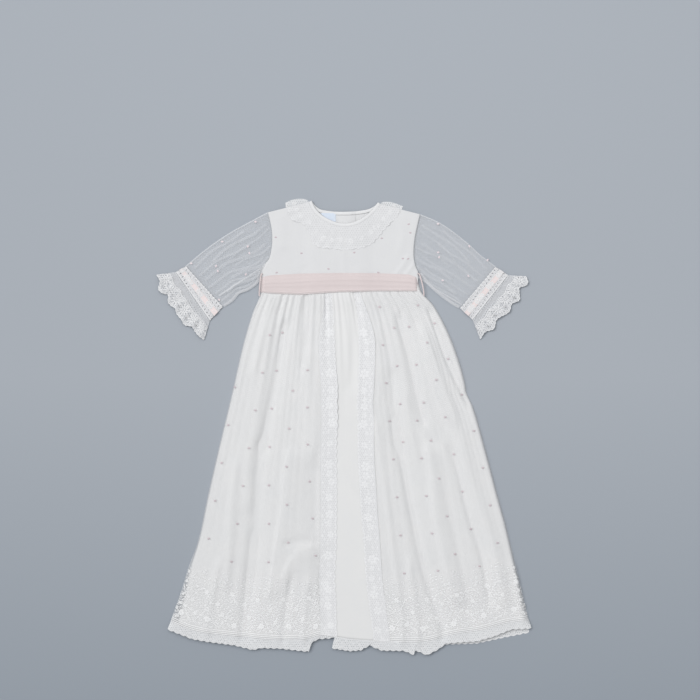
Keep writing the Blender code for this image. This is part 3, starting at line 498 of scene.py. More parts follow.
PEARL = cloth_finish("button shell", (0.86, 0.86, 0.83), (0.78, 0.79, 0.80), 0.2,
                     ("uneven", {"Size": 0.003}), 0.02)
print("finishes:", len(bpy.data.materials))

# %% [markdown]
# ## Stitches
#
# Embroidered lace is only two kinds of stitch: satin pads, which are small raised ovals, and
# corded lines. Both are drawn flat here, with their relief, and `Stitches` gathers thousands
# of them into one mesh. A design is drawn on a straight strip; `sewn` bends that strip on
# to its place on the gown and drops every point on to the cloth below.

# %% Pads and cords
RIM = -0.05  # how far the rim of a stitch sinks into the cloth


class Stitches:
    """Many small raised stitches, as one mesh in the making."""

    def __init__(self):
        self.points = []
        self.faces = []

    def add(self, points, faces):
        start = len(self.points)
        self.points.extend(points)
        self.faces.extend(tuple(i + start for i in face) for face in faces)

    def pad(self, x, y, long, wide, degrees=0.0, height=0.5, tip=0.0, sides=8):
        """A satin pad: an oval dome. tip draws its far end to a point, as on a leaf."""
        turn = np.arange(sides) * math.tau / sides
        far = 0.5 + 0.5 * np.cos(turn)
        across = np.sin(turn) * (1.0 - tip * far ** 2) * wide / 2
        angle = math.radians(degrees)
        run = np.cos(turn) * long / 2
        flat_x = run * math.cos(angle) - across * math.sin(angle)
        flat_y = run * math.sin(angle) + across * math.cos(angle)
        points = [(x + a, y + b, RIM) for a, b in zip(flat_x, flat_y)]
        points += [(x + a * 0.7, y + b * 0.7, height * 0.7) for a, b in zip(flat_x, flat_y)]
        points.append((x, y, height))
        faces = []
        for i in range(sides):
            after = (i + 1) % sides
            faces.append((i, after, sides + after, sides + i))
            faces.append((sides + i, sides + after, 2 * sides))
        self.add(points, faces)

    def cord(self, line_points, wide=0.8, height=0.5):
        """A corded line: a low ridge along a run of flat points."""
        run = np.asarray(line_points, float)
        along = np.gradient(run, axis=0)
        along /= np.linalg.norm(along, axis=1)[:, None] + 1e-9
        aside = np.stack((-along[:, 1], along[:, 0]), axis=1) * wide / 2
        points = []
        for place, side in zip(run, aside):
            points += [(*(place + side), RIM), (*place, height), (*(place - side), RIM)]
        faces = []
        for i in range(0, len(points) - 3, 3):
            faces += [(i + 1, i, i + 3, i + 4), (i + 2, i + 1, i + 4, i + 5)]
        self.add(points, faces)

    def ring(self, x, y, radius, wide=0.8, height=0.5, steps=8):
        turn = np.linspace(0.0, math.tau, steps + 1)
        self.cord(np.stack((x + radius * np.cos(turn), y + radius * np.sin(turn)), axis=1),
                  wide, height)

    def flower(self, x, y, radius, petals=5, degrees=0.0, height=0.6):
        """Petals round a knot."""
        for number in range(petals):
            turn = degrees + number * 360.0 / petals
            angle = math.radians(turn)
            self.pad(x + math.cos(angle) * radius * 0.6, y + math.sin(angle) * radius * 0.6,
                     radius * 0.85, radius * 0.62, turn, height)
        self.pad(x, y, radius * 0.4, radius * 0.4, 0.0, height * 1.3, sides=6)

    def leaf(self, x, y, long, degrees, height=0.45):
        """A leaf that grows away from the given point."""
        angle = math.radians(degrees)
        self.pad(x + math.cos(angle) * long / 2, y + math.sin(angle) * long / 2, long,
                 long * 0.42, degrees, height, tip=0.8)

    def sewn(self, name, finish, cloth, warp=None, lift=0.0):
        """Bend the flat design with warp, drop it on the cloth and make its object."""
        points = np.array(self.points)
        if warp:
            points[:, :2] = warp(points[:, 0], points[:, 1])
        points[:, 2] += cloth.height(points[:, 0], points[:, 1]) + lift
        return new_object(name, points, self.faces, finish)

# %% [markdown]
# ## The skirt's plan
#
# Front and back of the skirt share one flat plan: 0 to 1 across, and 0 to 1 from the waist to
# the line where the hem lace is sewn. The back is laid first, then the lining, and the two
# net panels come last. They part in the middle like curtains and show the lining.

# %% Skirt outlines and levels
GAP = 0.3
BODICE_LIFT = 1.3
LAP_LIFT = 1.5
LAP_SHELF = (-66.0, -42.0, 28.0, 54.0)
WAIST_Y = 228.8
WAIST_LEFT = -128.0
WAIST_RIGHT = 122.4
# The skirt's width at its waist and its hem.
SKIRT_WIDTHS = ((0.0, 250.0), (1.0, 572.0))
SKIRT_LEFT = ((WAIST_LEFT, WAIST_Y), (-129, 214), (-142, 181.8), (-155.6, 137.6), (-178, 41.6),
              (-196.6, -35.2), (-214.2, -112), (-231, -188.8), (-244.6, -225), (-254.6, -258),
              (-273, -311))
SKIRT_RIGHT = ((WAIST_RIGHT, WAIST_Y), (127.5, 215), (146.4, 194), (168, 156), (183.4, 118.4),
               (197.6, 70), (200.6, 52), (210, 32), (229.8, -35.2), (250.2, -112), (263.4, -160),
               (271, -192), (286.9, -258), (299, -309))
HEM_SEAM = ((-273, -311), (-239, -325), (-172, -335), (-97, -341), (-54, -339), (-34, -334),
            (-12, -336.5), (10, -340), (75, -344), (136, -343), (180, -332), (220, -326),
            (265, -314), (299, -309))
BACK_LENGTH = 0.978
# Free edges of the net panels and sides of the lining: row, left, right, as shares across.
FREE_EDGES = ((0, 0.440, 0.577), (0.06, 0.437, 0.575), (0.13, 0.436, 0.568), (0.19, 0.436, 0.561),
              (0.25, 0.439, 0.550), (0.31, 0.446, 0.541), (0.39, 0.445, 0.534),
              (0.46, 0.442, 0.530), (0.59, 0.444, 0.533), (0.78, 0.443, 0.541), (1, 0.462, 0.571))
LINING_SIDES = ((0, 0, 1), (0.1, 0.003, 0.997), (0.78, 0.003, 0.997), (0.88, 0.009, 0.996),
                (1, 0.020, 0.992))
SIDE_TURN = 3.2

WAIST = line((WAIST_LEFT, WAIST_Y), (WAIST_RIGHT, WAIST_Y))
SKIRT = patch(WAIST, smooth(HEM_SEAM), smooth(SKIRT_LEFT), smooth(SKIRT_RIGHT))


def laid_grid(plan, columns, rows):
    """Lay a plan out as rows by columns of flat points."""
    u, v = np.meshgrid(columns, rows)
    return plan(u.ravel(), v.ravel()).reshape(*u.shape, 2), u, v


def soft_edge(table, v, column):
    """Read an edge of the table as a smooth curve down the skirt."""
    return smooth([(row[0], row[column]) for row in table])(v)[:, 1]


def lap_shelf(x):
    """The front's rise over the lapped back opening and the label."""
    start, full, down, end = LAP_SHELF
    return LAP_LIFT * ease(np.minimum((x - start) / (full - start), (end - x) / (end - down)))


def skirt_lift(v):
    """The skirt's rise at the waist, where the back of the sash passes under it."""
    return BODICE_LIFT * ease((0.1 - v) / 0.056)


def skirt_base(x, v, solid_base):
    return solid_base + skirt_lift(v) + lap_shelf(x) * ease(1.0 - v / 0.16)


def hemmed(count):
    """Even shares from 0 to 1, with a narrow hem at both ends that keeps the rim crisp."""
    return np.concatenate(([0.0, 0.003], even(count)[1:-1], [0.997, 1.0]))


def turn_down(height, from_side, edge_height, run=SIDE_TURN):
    """Bring a cloth down to its side seam over the last few millimetres."""
    return edge_height + (height - edge_height) * ease(from_side / run)


# %% [markdown]
# ## Gathers and folds
#
# Two things shape the cloth. At the waist it is gathered: rounded lobes with narrow valleys
# between them, each with its own depth and reach. Further down, the spare cloth falls into
# long folds. Each fold is a ridge along a line of marks, gentle on one side and steep on the
# other, because the outer cloth lies over the inner one. They are placed one by one, uneven.

# %% Tables of gathers and folds
# Valleys between the gathers: x at the waist, depth, half width, reach down the skirt.
GATHERS = (
    (-122, 1.2, 2.4, 0.10), (-114.6, 1.6, 2, 0.16), (-106.6, 1.3, 2.2, 0.09),
    (-92.2, 2.2, 2.6, 0.30), (-82.6, 1.5, 2, 0.13), (-73, 1.2, 2.4, 0.10),
    (-58.6, 2.4, 3.2, 0.13), (-49, 0.8, 2, 0.08), (-41, 1.4, 2.6, 0.18),
    (-33, 0.9, 1.8, 0.07), (-27.2, 2.3, 2.4, 0.12), (-20.5, 1.4, 1.8, 0.10),
    (-14.6, 1.1, 1.8, 0.14), (-7.4, 1.3, 2.2, 0.20), (-1, 0.7, 1.6, 0.08),
    (5.4, 0.6, 2.2, 0.10), (11.2, 0.8, 1.8, 0.09), (16.6, 1.6, 2.2, 0.18),
    (23, 0.8, 1.8, 0.08), (29.4, 1.3, 2.2, 0.20), (37, 0.8, 2, 0.10),
    (45.4, 1.6, 2.4, 0.24), (54, 0.8, 2, 0.10), (66.2, 1.5, 2.2, 0.16),
    (74.2, 1.5, 2.2, 0.22), (87, 1.9, 2.6, 0.26), (94, 0.8, 1.8, 0.08),
    (101.4, 1.4, 2, 0.14), (111, 1.6, 2.2, 0.18), (118.5, 1, 2, 0.10),
)
GATHER_HEIGHT = ((0, 1), (0.018, 3.8), (0.04, 4.5), (0.16, 4.6), (0.5, 4.4), (0.85, 4), (1, 3))
# A valley of this depth at the waist would press the cloth right down.
FULL_VALLEY = 3.3
# The sash's edges: share across, y of the upper edge, y of the lower edge.
SASH_EDGES = ((0, 237.6, 213.6), (0.06, 240.8, 212.2), (0.25, 243.6, 209.8), (0.5, 244.6, 214.2),
              (0.75, 244.2, 215.6), (0.94, 242.2, 215.6), (1, 237, 215.6))
# The most that cloth rises, by how far below the sash's lower edge it lies.
PRESSED = ((-14, 0.5), (-1.6, 0.9), (1, 3.3), (5, 4.7), (14, 9))

# Long folds: marks down each one, height (a trough is below 0), half width left and right.
FOLDS = (
    (((-93, 165), (-100, 125), (-110, 60), (-121, 0), (-129, -40)), -4.5, 8, 12),
    (((-129, -22), (-135, -78), (-137, -134), (-142, -208), (-151, -278), (-156, -317)), -3.6, 10,
     15),
    (((-142, -170), (-147, -230), (-154, -300)), -2.2, 8, 12),
    (((-99, 173), (-108, 122), (-119, 58), (-131, -6), (-142, -67), (-148, -134)), 2.4, 18, 6.5),
    (((-156, -83), (-161, -142), (-171, -214), (-179, -286)), -0.6, 6, 8),
    (((-55, 208), (-55, 166), (-59, 122), (-64, 90)), -2.8, 5, 6),
    (((-48, 124), (-49, 74), (-49, 18), (-48, -22), (-47, -58)), 2.4, 13, 26),
    (((-84, -38), (-91, -86), (-95, -134), (-105, -195), (-110, -234), (-115, -272)), 2.8, 4, 22),
    (((-38, -40), (-41, -86), (-41, -166), (-36, -214), (-35, -285)), -2.1, 11, 6),
    (((-110, 205), (-118, 176), (-131, 130), (-142, 82)), 2.1, 6, 6),
    (((-169, -54), (-174, -118), (-179, -190), (-185, -262)), 2.2, 8, 8),
    (((-195, -214), (-207, -278), (-215, -314)), 2.1, 9, 7),
    (((-79, -238), (-86, -278), (-92, -320)), -2.8, 6, 7),
    (((-54, -246), (-57, -278), (-60, -320)), 2, 6, 6),
    (((80, 86), (82, 34), (86, 0), (92, -40)), -3.4, 12, 9),
    (((86, 10), (92, -32), (99, -67), (112, -134), (128, -214), (147, -278), (163, -323)), -5,
     7.5, 7.5),
    (((93, 176), (100, 146), (108, 118), (118, 66), (124, 34), (133, 3)), -4.6, 8, 4),
    (((134, 130), (151, 90), (168, 45), (180, 10)), 3, 15, 9),
    (((125, 154), (137, 122), (154, 61), (173, 19), (188, -16), (201, -70), (223, -134),
     (247, -214), (260, -285)), 3.6, 7, 12),
    (((141, 186), (151, 154), (160, 125), (176, 88), (190, 58), (203, 34)), -4.8, 4.5, 5.5),
    (((138, -32), (145, -70), (149, -134), (165, -214), (183, -285)), 4.4, 7, 18),
    (((146, -16), (157, -70), (170, -134), (188, -214), (201, -278), (205, -317)), -1.2, 6, 8),
    (((173, -32), (185, -70), (201, -134), (225, -214), (237, -285)), -3.4, 6, 6),
    (((101, 54), (109, -6), (121, -48)), 1.5, 7, 7),
    (((58, 154), (60, 106), (61, 42)), 1.1, 5, 5),
    (((55, 10), (65, -70), (76, -150), (87, -230), (97, -310)), 2, 6, 6),
    (((276, -214), (282, -262), (289, -304)), 2, 7, 5),
    (((108, -214), (114, -262), (122, -320)), 2.5, 6, 6),
    (((22, 208), (22, 154), (19, 106), (14, 60)), -2, 8, 11),
)
FOLD_RAMP = 26.0


def gather_rise(u, v, width):
    """The height of the gathers: a full cloth with valleys pressed into it."""
    depth = np.zeros_like(u)
    for x, valley, half, reach in GATHERS:
        across = (x - WAIST_LEFT) / (WAIST_RIGHT - WAIST_LEFT)
        spread = half * (1.0 + 5.0 * v)
        fade = ease((reach * 2.4 - v) / (reach * 2.1))
        ridge = bump((u - across) * width, spread, spread)
        depth = np.maximum(depth, valley / FULL_VALLEY * fade * ridge)
    ripple = np.cos(math.tau * (31.0 * u + 1.7 * np.sin(7.0 * u) + 0.8 * np.sin(19.0 * u + 1.0)))
    return look_up(GATHER_HEIGHT, v) * (1.0 - depth) * (1.0 + 0.07 * (1.0 - v) * (ripple - 1.0))


def fold_rise(x, y):
    """The height of the long folds at a place on the table."""
    rise = np.zeros_like(x)
    for marks, height, left, right in FOLDS:
        crest = smooth(marks)(even(60))[::-1]
        away = x - np.interp(y, crest[:, 1], crest[:, 0])
        ends = ease((y - marks[-1][1]) / FOLD_RAMP + 0.5) if marks[-1][1] > -300.0 else 1.0
        if marks[0][1] < 190.0:
            ends = ends * ease((marks[0][1] - y) / FOLD_RAMP + 0.5)
        rise = rise + height * ends * bump(away, left, right)
    return rise * (1.0 - 0.35 * ease((-230.0 - y) / 80.0))


def crease_rise(creases, x, y):
    """The height of soft creases along their lines of marks."""
    rise = np.zeros_like(x)
    for marks, height, left, right in creases:
        run = smooth(marks)(even(40))
        gap = np.stack((x, y), axis=-1)[..., None, :] - run
        nearest = np.argmin((gap ** 2).sum(-1), axis=-1)
        away = np.take_along_axis(gap, nearest[..., None, None], axis=-2)[..., 0, :]
        distance = np.linalg.norm(away, axis=-1) * np.sign(away[..., 0])
        rise = rise + height * bump(distance, left, right)
    return rise


# Short creases that cross the folds: marks, height, half widths.
SKIRT_CREASES = (
    (((-42, -185), (-66, -183), (-90, -188)), -1.7, 5, 5),
    (((-48, -193), (-66, -200), (-80, -215), (-92, -242)), 2.2, 6, 20),
    (((-30, -246), (-27, -275), (-25, -316)), -1.6, 8, 7),
    (((-25, 203), (-24, 188), (-26, 174)), -2, 2.2, 2.2),
    (((-4, -64), (16, -100), (31, -130)), 0.6, 4, 6),
)


def skirt_rise(u, v, flat, calm=1.0):
    """How far the front of the skirt rises. calm below 1 flattens its gathers and folds."""
    width = look_up(SKIRT_WIDTHS, v)
    full = look_up(GATHER_HEIGHT, v)
    x, y = flat[..., 0], flat[..., 1]
    shaped = gather_rise(u, v, width) + fold_rise(x, y)
    rise = full + calm * (shaped - full) + crease_rise(SKIRT_CREASES, x, y)
    below = look_up(SASH_EDGES, (x - WAIST_LEFT) / (WAIST_RIGHT - WAIST_LEFT), 2) - y
    return np.clip(rise, 0.0, look_up(PRESSED, below))


# %% [markdown]
# ## Back and lining
#
# The back of the skirt is a batiste lining with net over it, just like the front. It lies
# face down, so it is almost flat. Both linings are cut narrower than the net at the hem, and
# that is why the lower side edges of the skirt look sheer.

# %% Skirt back and front lining
THIN = 0.4
SHEER = 0.0
LINING_EDGE, BACK_LINING_EDGE = 0.9, 0.45  # heights at the side seams
LINING_COLUMNS = 300
LINING_FOLLOWS = 0.92  # the share of the net's folds that the lining takes
SKIRT_ROWS = np.concatenate((np.linspace(0.0, 0.018, 6)[:-1], np.linspace(0.018, 0.042, 19)[:-1],
                             np.linspace(0.042, 0.12, 18)[:-1], np.linspace(0.12, 1.0, 116)))


def make_lining(name, base, lifted, *nodes):
    """One lining panel: the front one follows the folds of the net above it, the back one lies
    almost flat.
    """
    v = SKIRT_ROWS
    low, high = (look_up(LINING_SIDES, v, column)[:, None] for column in (1, 2))
    u = low + (high - low) * even(LINING_COLUMNS)[None, :]
    v = np.broadcast_to(v[:, None], u.shape)
    reach, edge = (1.0, LINING_EDGE) if lifted else (BACK_LENGTH, BACK_LINING_EDGE)
    flat = SKIRT(u.ravel(), v.ravel() * reach).reshape(*u.shape, 2)
    height = base + skirt_lift(v)
    if lifted:
        height = skirt_base(flat[..., 0], v, base) + LINING_FOLLOWS * skirt_rise(u, v, flat)
    from_side = np.minimum(u - low, high - u) * look_up(SKIRT_WIDTHS, v)
    cloth = Cloth(raised(flat, turn_down(height, from_side, edge)), THIN)
    return cloth, wear(cloth.object(name + "_cloth", BATISTE), "white_batiste", *nodes)


flat, u, v = laid_grid(SKIRT, even(60), SKIRT_ROWS * BACK_LENGTH)
back_net = Cloth(raised(flat, 0.1 + skirt_lift(v)), SHEER)
back_net_piece = wear(back_net.object("skirt_back_net", NET), "dotted_net", "skirt_back")
_, back_lining_piece = make_lining("skirt_back_lining", 0.5, False)
lining, lining_piece = make_lining("skirt_lining_front", 2.2, True, "skirt_lining_front")
print("lining:", len(lining.faces), "faces,", round(lining.area(), 3), "square metres")

# %% [markdown]
# ## The net panels
#
# Each panel runs from its side seam to its free edge. Near the free edge it lies calm, because
# the lace band that is sewn there keeps it flat.

# %% Net panels
BAND_WIDTH = 24.0
NET_BASE = 3.75
NET_EDGE = 1.4
# Under its lace band the net is calmer: what is left of its folds, and how far it sinks there
# and towards the border.
CALM_SHARE = 0.25
BAND_SINK, BORDER_SINK = 0.6, 0.9
NET_COLUMNS = 190
# Near its free edge the net settles on the lining: clearance, where that ends, over how far.
NET_OVER_LINING = 0.3
SETTLED_WIDTH = 12.0
SETTLING = 16.0
# The left edge stands off a little: how high, about which y, how far along and how far in.
EDGE_LIFT, EDGE_LIFT_Y, EDGE_LIFT_ALONG, EDGE_LIFT_IN = 1.4, 35.0, 45.0, 9.0


def net_plan(side):
    """The plan of a net panel, from its side seam (0) to its free edge (1)."""
    def at(s, v):
        free = soft_edge(FREE_EDGES, v, 1 + side)
        return SKIRT(s * free if side == 0 else 1.0 - s * (1.0 - free), v)

    return at


def make_net_panel(name, side):
    plan = net_plan(side)
    flat, s, v = laid_grid(plan, even(NET_COLUMNS), SKIRT_ROWS)
    free = look_up(FREE_EDGES, v, 1 + side)
    u = s * free if side == 0 else 1.0 - s * (1.0 - free)
    width = np.linalg.norm(flat[:, -1] - flat[:, 0], axis=1)[:, None]
    inside = width * (1.0 - s)
    calm = ease((inside - BAND_WIDTH + 2.0) / 14.0)
    height = skirt_base(flat[..., 0], v, NET_BASE)
    height = height + skirt_rise(u, v, flat, CALM_SHARE + (1.0 - CALM_SHARE) * calm)
    sink = np.maximum(BAND_SINK * (1.0 - calm), BORDER_SINK * ease((v - 0.76) / 0.08))
    height = height - sink
    settled = lining.height(flat[..., 0].ravel(), flat[..., 1].ravel()).reshape(u.shape)
    settled = settled + NET_OVER_LINING
    if side == 0:
        along = bump(flat[..., 1] - EDGE_LIFT_Y, EDGE_LIFT_ALONG, EDGE_LIFT_ALONG)
        settled = settled + EDGE_LIFT * along * (1.0 - ease(inside / EDGE_LIFT_IN))
    near = 1.0 - ease((inside - SETTLED_WIDTH) / SETTLING)
    height = height + (settled - height) * near
    cloth = Cloth(raised(flat, turn_down(height, width * s, NET_EDGE)), SHEER)
    return plan, cloth, wear(cloth.object(name + "_cloth", NET), "dotted_net", name)


NETS = [make_net_panel("skirt_net_left", 0), make_net_panel("skirt_net_right", 1)]
for plan, cloth, piece in NETS:
    print(piece.name, len(cloth.faces), "faces,", round(cloth.area(), 3), "square metres")

# %% [markdown]
# ## Woven dots
#
# The net has a brick repeat of little pink ovals. Gathering pulls its columns into lines that
# fan out with the skirt, so each column is a run of dots from one mark to another.

# %% Dots of the skirt
# Columns of dots: x and y of the first, of the middle and of the last, and how many.
DOTS_LEFT = (
    ((-170.6, 62.4), (-191.4, -58), (-212, -179.2), 5),
    ((-114.6, 145.6), (-142, 0), (-175.4, -216), 7),
    ((-94.6, 149.4), (-112, 25), (-116.5, -216.9), 7),
    ((-77.8, 56.8), (-87.7, -60.8), (-85.1, -185.6), 5),
    ((-54.4, 89.6), (-54, -33.6), (-41.6, -206.4), 6),
)
DOTS_RIGHT = (
    ((60.6, 190.4), (76, 17.6), (100, -234.7), 8),
    ((83.8, 157.1), (92.5, 45), (98, -25.3), 4),
    ((107.7, 158.9), (143, -23.5), (181.1, -203.8), 7),
    ((121.8, 193), (164.8, 16), (220.3, -223.7), 8),
    ((148.3, 164.3), (211.4, -8.3), (248.6, -185.9), 7),
    ((120.6, 9.1), (135.2, -111.7), (153.8, -230.7), 5),
)
DOT_SIZE = (4.6, 3.0)
DOT_HEIGHT = 0.35
DOT_LIFT = 0.08


def dots_on(name, columns, cloth):
    """Run the columns of dots down a panel, each dot turned a little from its neighbours."""
    dots = Stitches()
    for *marks, count in columns:
        for number, (x, y) in enumerate(smooth(marks)(even(count))):
            dots.pad(x, y, *DOT_SIZE, 8.0 * math.sin(1.7 * number + x), DOT_HEIGHT)
    return wear(dots.sewn(name, DOT_THREAD, cloth, lift=DOT_LIFT), "dotted_net")


skirt_dots = [dots_on("skirt_dots_left", DOTS_LEFT, NETS[0][1]),
              dots_on("skirt_dots_right", DOTS_RIGHT, NETS[1][1])]

# %% [markdown]
# ## Lace designs
#
# Every lace is a strip: a flat plan with a share along it and 0 to 1 from its seam to its
# scalloped edge. The design is drawn on a straight strip, in millimetres, with the scalloped
# edge at y = 0. `bent` carries it on to the real one.

# %% Strips and their designs
def scallop(share, count, depth):
    """How far a scalloped edge falls short of the tips of its lobes."""
    return depth * (1.0 - np.abs(np.sin(math.pi * count * share)))


def bent(plan, length, depth):
    """Carry a straight design, with its edge at y 0, on to a strip."""
    return lambda x, y: plan(x / length, 1.0 - y / depth)


def scalloped(near, far, count, depth):
    """The flat plan of a strip between two curves, with its far edge cut in scallops."""
    def at(u, t):
        start, end = near(u), far(u)
        back = (start - end) / np.linalg.norm(start - end, axis=1)[:, None]
        end = end + back * scallop(u, count, depth)[:, None]
        return start + (end - start) * t[:, None]

    return at


def embroider(design, name, finish, cloth, plan, length, depth):
    """Sew a straight design of this length and depth on to a strip."""
    return wear(design.sewn(name, finish, cloth, bent(plan, length, depth)), "white_lace")


def grid_faces(columns, rows):
    """The row and the column of every face of a laid grid."""
    return np.repeat(np.arange(rows), columns), np.tile(np.arange(columns), rows)


def make_strip(plan, columns, rows, rest, thickness=SHEER):
    """A strip of cloth on its plan. rest gives the height for x, y and both shares."""
    shares = (hemmed(columns - 2), hemmed(rows - 2)) if thickness else (even(columns), even(rows))
    u, t = np.meshgrid(*shares)
    flat = plan(u.ravel(), t.ravel())
    height = rest(flat[:, 0], flat[:, 1], u.ravel(), t.ravel())
    return Cloth(np.column_stack((flat, height)).reshape(rows, columns, 3), thickness)


def long_cord(design, length, y, wide, height):
    """A straight cord along the whole strip."""
    x = np.linspace(0.0, length, max(int(length / 1.6), 24))
    design.cord(np.column_stack((x, np.full_like(x, y))), wide, height)


def flower_row(length, depth, pitch, relief=0.35, corded=True):
    """A band design: large flowers, small ones between them, leaves and an edge of pads."""
    design = Stitches()
    count = max(round(length / pitch), 1)
    pitch = length / count
    for number in range(count):
        x = (number + 0.5 + 0.14 * math.sin(5.1 * number)) * pitch
        sway = 2.0 * math.sin(2.3 * number + 0.7)
        size = min(depth * 0.29, pitch * 0.25) * (1.0 + 0.2 * math.sin(3.7 * number))
        design.flower(x, depth * 0.42 + sway, size, 6, 29.0 * number, relief)
        small = size * (0.6 + 0.2 * math.sin(4.3 * number))
        design.flower(x + pitch / 2, depth * 0.50 - sway, small, 5, 40.0 * number, relief)
        for side in (-1.0, 1.0):
            for out, up, long, turn in ((1.1, 0.46, 0.2, 60), (1.1, 0.38, 0.18, 125),
                                        (0.6, 0.72, 0.2, 75)):
                design.leaf(x + side * size * out, depth * up, pitch * long,
                            90 - side * turn, relief)
        design.pad(x + pitch / 2, depth * 0.84, pitch * 0.18, pitch * 0.09, 9.0 * sway, relief)
        design.pad(x, depth * 0.86, pitch * 0.22, pitch * 0.10, 12.0 * sway, relief)
    lobes = max(round(length / 5.4), 1)
    for number in range(lobes):
        design.pad((number + 0.5) * length / lobes, 1.9, 4.0, 2.2, 0.0, relief)
    long_cord(design, length, 0.4, 1.0, relief)
    if corded:
        long_cord(design, length, depth * 0.97, 0.9, relief)
    return design


def edging(length, depth, pitch):
    """A hem design: a fan of pads in each scallop, under rows of fine cords."""
    design = Stitches()
    count = max(round(length / pitch), 1)
    pitch = length / count
    for number in range(count):
        x = (number + 0.5) * pitch
        for turn in (30.0, 90.0, 150.0):
            angle = math.radians(turn)
            design.pad(x + math.cos(angle) * pitch * 0.26,
                       depth * 0.12 + math.sin(angle) * pitch * 0.16, pitch * 0.34,
                       pitch * 0.16, turn, 0.35)
        design.pad(x + pitch / 2, depth * 0.36, pitch * 0.4, pitch * 0.16, 0.0, 0.3)
        design.pad(x, depth * 0.58, pitch * 0.5, pitch * 0.15, 12.0 * math.sin(number), 0.3)
        design.pad(x + pitch / 2, depth * 0.80, pitch * 0.44, pitch * 0.15, 0.0, 0.3)
    for share, wide in ((0.03, 1.2), (0.26, 0.9), (0.47, 0.9), (0.69, 0.9), (0.93, 1.4)):
        long_cord(design, length, depth * share, wide, 0.4)
    return design


# %% [markdown]
# ## Lace bands on the free edges
#
# The bands end in scallops that point to the middle of the gown. Each one lies on its own
# panel and takes its height from it.

# %% Lace bands
BAND_START = 0.026
BAND_SCALLOPS = 37
BAND_DEPTH = 2.6
BAND_REACH = BAND_WIDTH + BAND_DEPTH
BAND_RUN = 545.0
BAND_REPEAT = 29.0


def band_plan(side, panel_plan):
    """The plan of a lace band: along the skirt, then from the panel to the scalloped edge."""
    inward = 1.0 if side == 0 else -1.0

    def at(share, t):
        v = BAND_START + (1.0 - BAND_START) * share
        edge = panel_plan(np.ones_like(v), v)
        seam = panel_plan(np.zeros_like(v), v)
        width = np.linalg.norm(seam - edge, axis=1)
        narrow = 0.45 + 0.55 * ease(share / 0.16)
        lobes = scallop(share + 0.004 * np.sin(29.0 * share), BAND_SCALLOPS, BAND_DEPTH)
        lobes = lobes * (0.75 + 0.25 * np.sin(17.0 * share + 2.0 * side))
        reach = BAND_REACH * narrow - lobes
        out = t * reach - BAND_WIDTH * narrow
        inside = panel_plan(1.0 + np.minimum(out, 0.0) / width, v)
        inside[:, 0] += inward * np.maximum(out, 0.0)
        return inside

    return at


def panel_top(cloth):
    """The rest of a strip that is sewn flat on a cloth, with its free edge a little off it."""
    return lambda x, y, u, t: cloth.height(x, y) + 0.08 + 0.15 * t


lace_bands = []
for side, name in enumerate(("lace_band_left", "lace_band_right")):
    panel_plan, panel, _ = NETS[side]
    plan = band_plan(side, panel_plan)
    cloth = make_strip(plan, 480, 15, panel_top(panel))
    band = wear(cloth.object(name + "_ground", LACE_GROUND), "white_lace", name)
    design = flower_row(BAND_RUN, BAND_REACH, BAND_REPEAT, 0.25, corded=False)
    # The bands' flowers take the copy of the white embroidery that is painted lighter, as painted
    # light.
    sewn = embroider(design, name + "_flowers", BAND_EMBROIDERY_PAINTED_LIGHTER, cloth, plan, BAND_RUN,
                     BAND_REACH)
    lace_bands.append((cloth, band, sewn))
print("lace band:", len(lace_bands[0][2].data.polygons), "faces of stitching")

# %% [markdown]
# ## The embroidered border
#
# The lowest 107 mm of the net is embroidered: two scrolls run along the hem with large and
# small flowers on them, and small flowers, leaves and seed stitches fill in between. They thin
# out upwards.

# %% Border of the net panels
BORDER_HEIGHT = 107.0
SKIRT_LENGTH = 565.0


def border_design(length, phase):
    """Flowers along two scrolls, filled in with small flowers, leaves and seed stitches."""
    design = Stitches()
    count = max(round(length / 46.0), 1)
    repeat = length / count
    x = np.linspace(0.0, length, count * 22)
    for base, swing, shift in ((24.0, 12.0, 0.0), (58.0, 11.0, 2.2)):
        design.cord(np.column_stack((x, base + swing * np.sin(math.tau * x / repeat + shift
                                                              + phase))), 1.2, 0.15)
    for number in range(count):
        start = number * repeat
        tilt = 30.0 * math.sin(1.3 * number + phase)
        for at, y, size, petals in ((0.20, 19.0, 6.4, 7), (0.70, 30.0, 5.0, 6),
                                    (0.45, 48.0, 4.8, 6), (0.92, 63.0, 5.4, 6),
                                    (0.22, 78.0, 3.8, 5), (0.62, 90.0, 3.4, 5)):
            where = start + (at * repeat + 7.0 * phase) % repeat
            sway = 3.0 * math.sin(2.1 * number + y)
            design.flower(where, y + sway, size * 0.8, petals, tilt, 0.12)
    for seed in range(int(length * 8.0)):
        where, high = (0.5 + seed * 0.75488) % 1.0, (0.5 + seed * 0.56984) % 1.0
        if (seed * 0.61803) % 1.0 < 1.15 * high ** 2.2:
            continue
        where, high = where * length, 9.0 + high * (BORDER_HEIGHT - 9.0)
        if seed % 9 == 0:
            design.flower(where, high, 2.8, 5, 40.0 * seed, 0.12)
        elif seed % 3 == 0:
            design.leaf(where, high, 5.0, 137.5 * seed, 0.1)
        else:
            design.pad(where, high, 4.0 + 3.0 * math.sin(seed) ** 2, 1.1,
                       9.0 * math.sin(2.6 * seed), 0.08, sides=6)
    for y, wide in ((0.6, 2.2), (3.6, 1.4), (6.6, 1.6)):
        long_cord(design, length, y, wide, 0.1)
    return design


borders = []
for side, name in enumerate(("border_left", "border_right")):
    panel_plan, panel, _ = NETS[side]
    length = float(np.linalg.norm(panel.points[-1, -1, :2] - panel.points[-1, 0, :2]))
    design = border_design(length, 0.4 + side)
    # The border takes the copy of the white embroidery that is painted lighter, as painted light.
    borders.append(embroider(design, name, NET_EMBROIDERY_PAINTED_LIGHTER, panel, panel_plan, length,
                             SKIRT_LENGTH))
print("border:", [len(item.data.polygons) for item in borders], "faces of stitching")

# %% [markdown]
# ## Hem laces
#
# A scalloped edging hangs from each layer of the skirt. Where the layers end at different
# lengths, one lace shows below another.

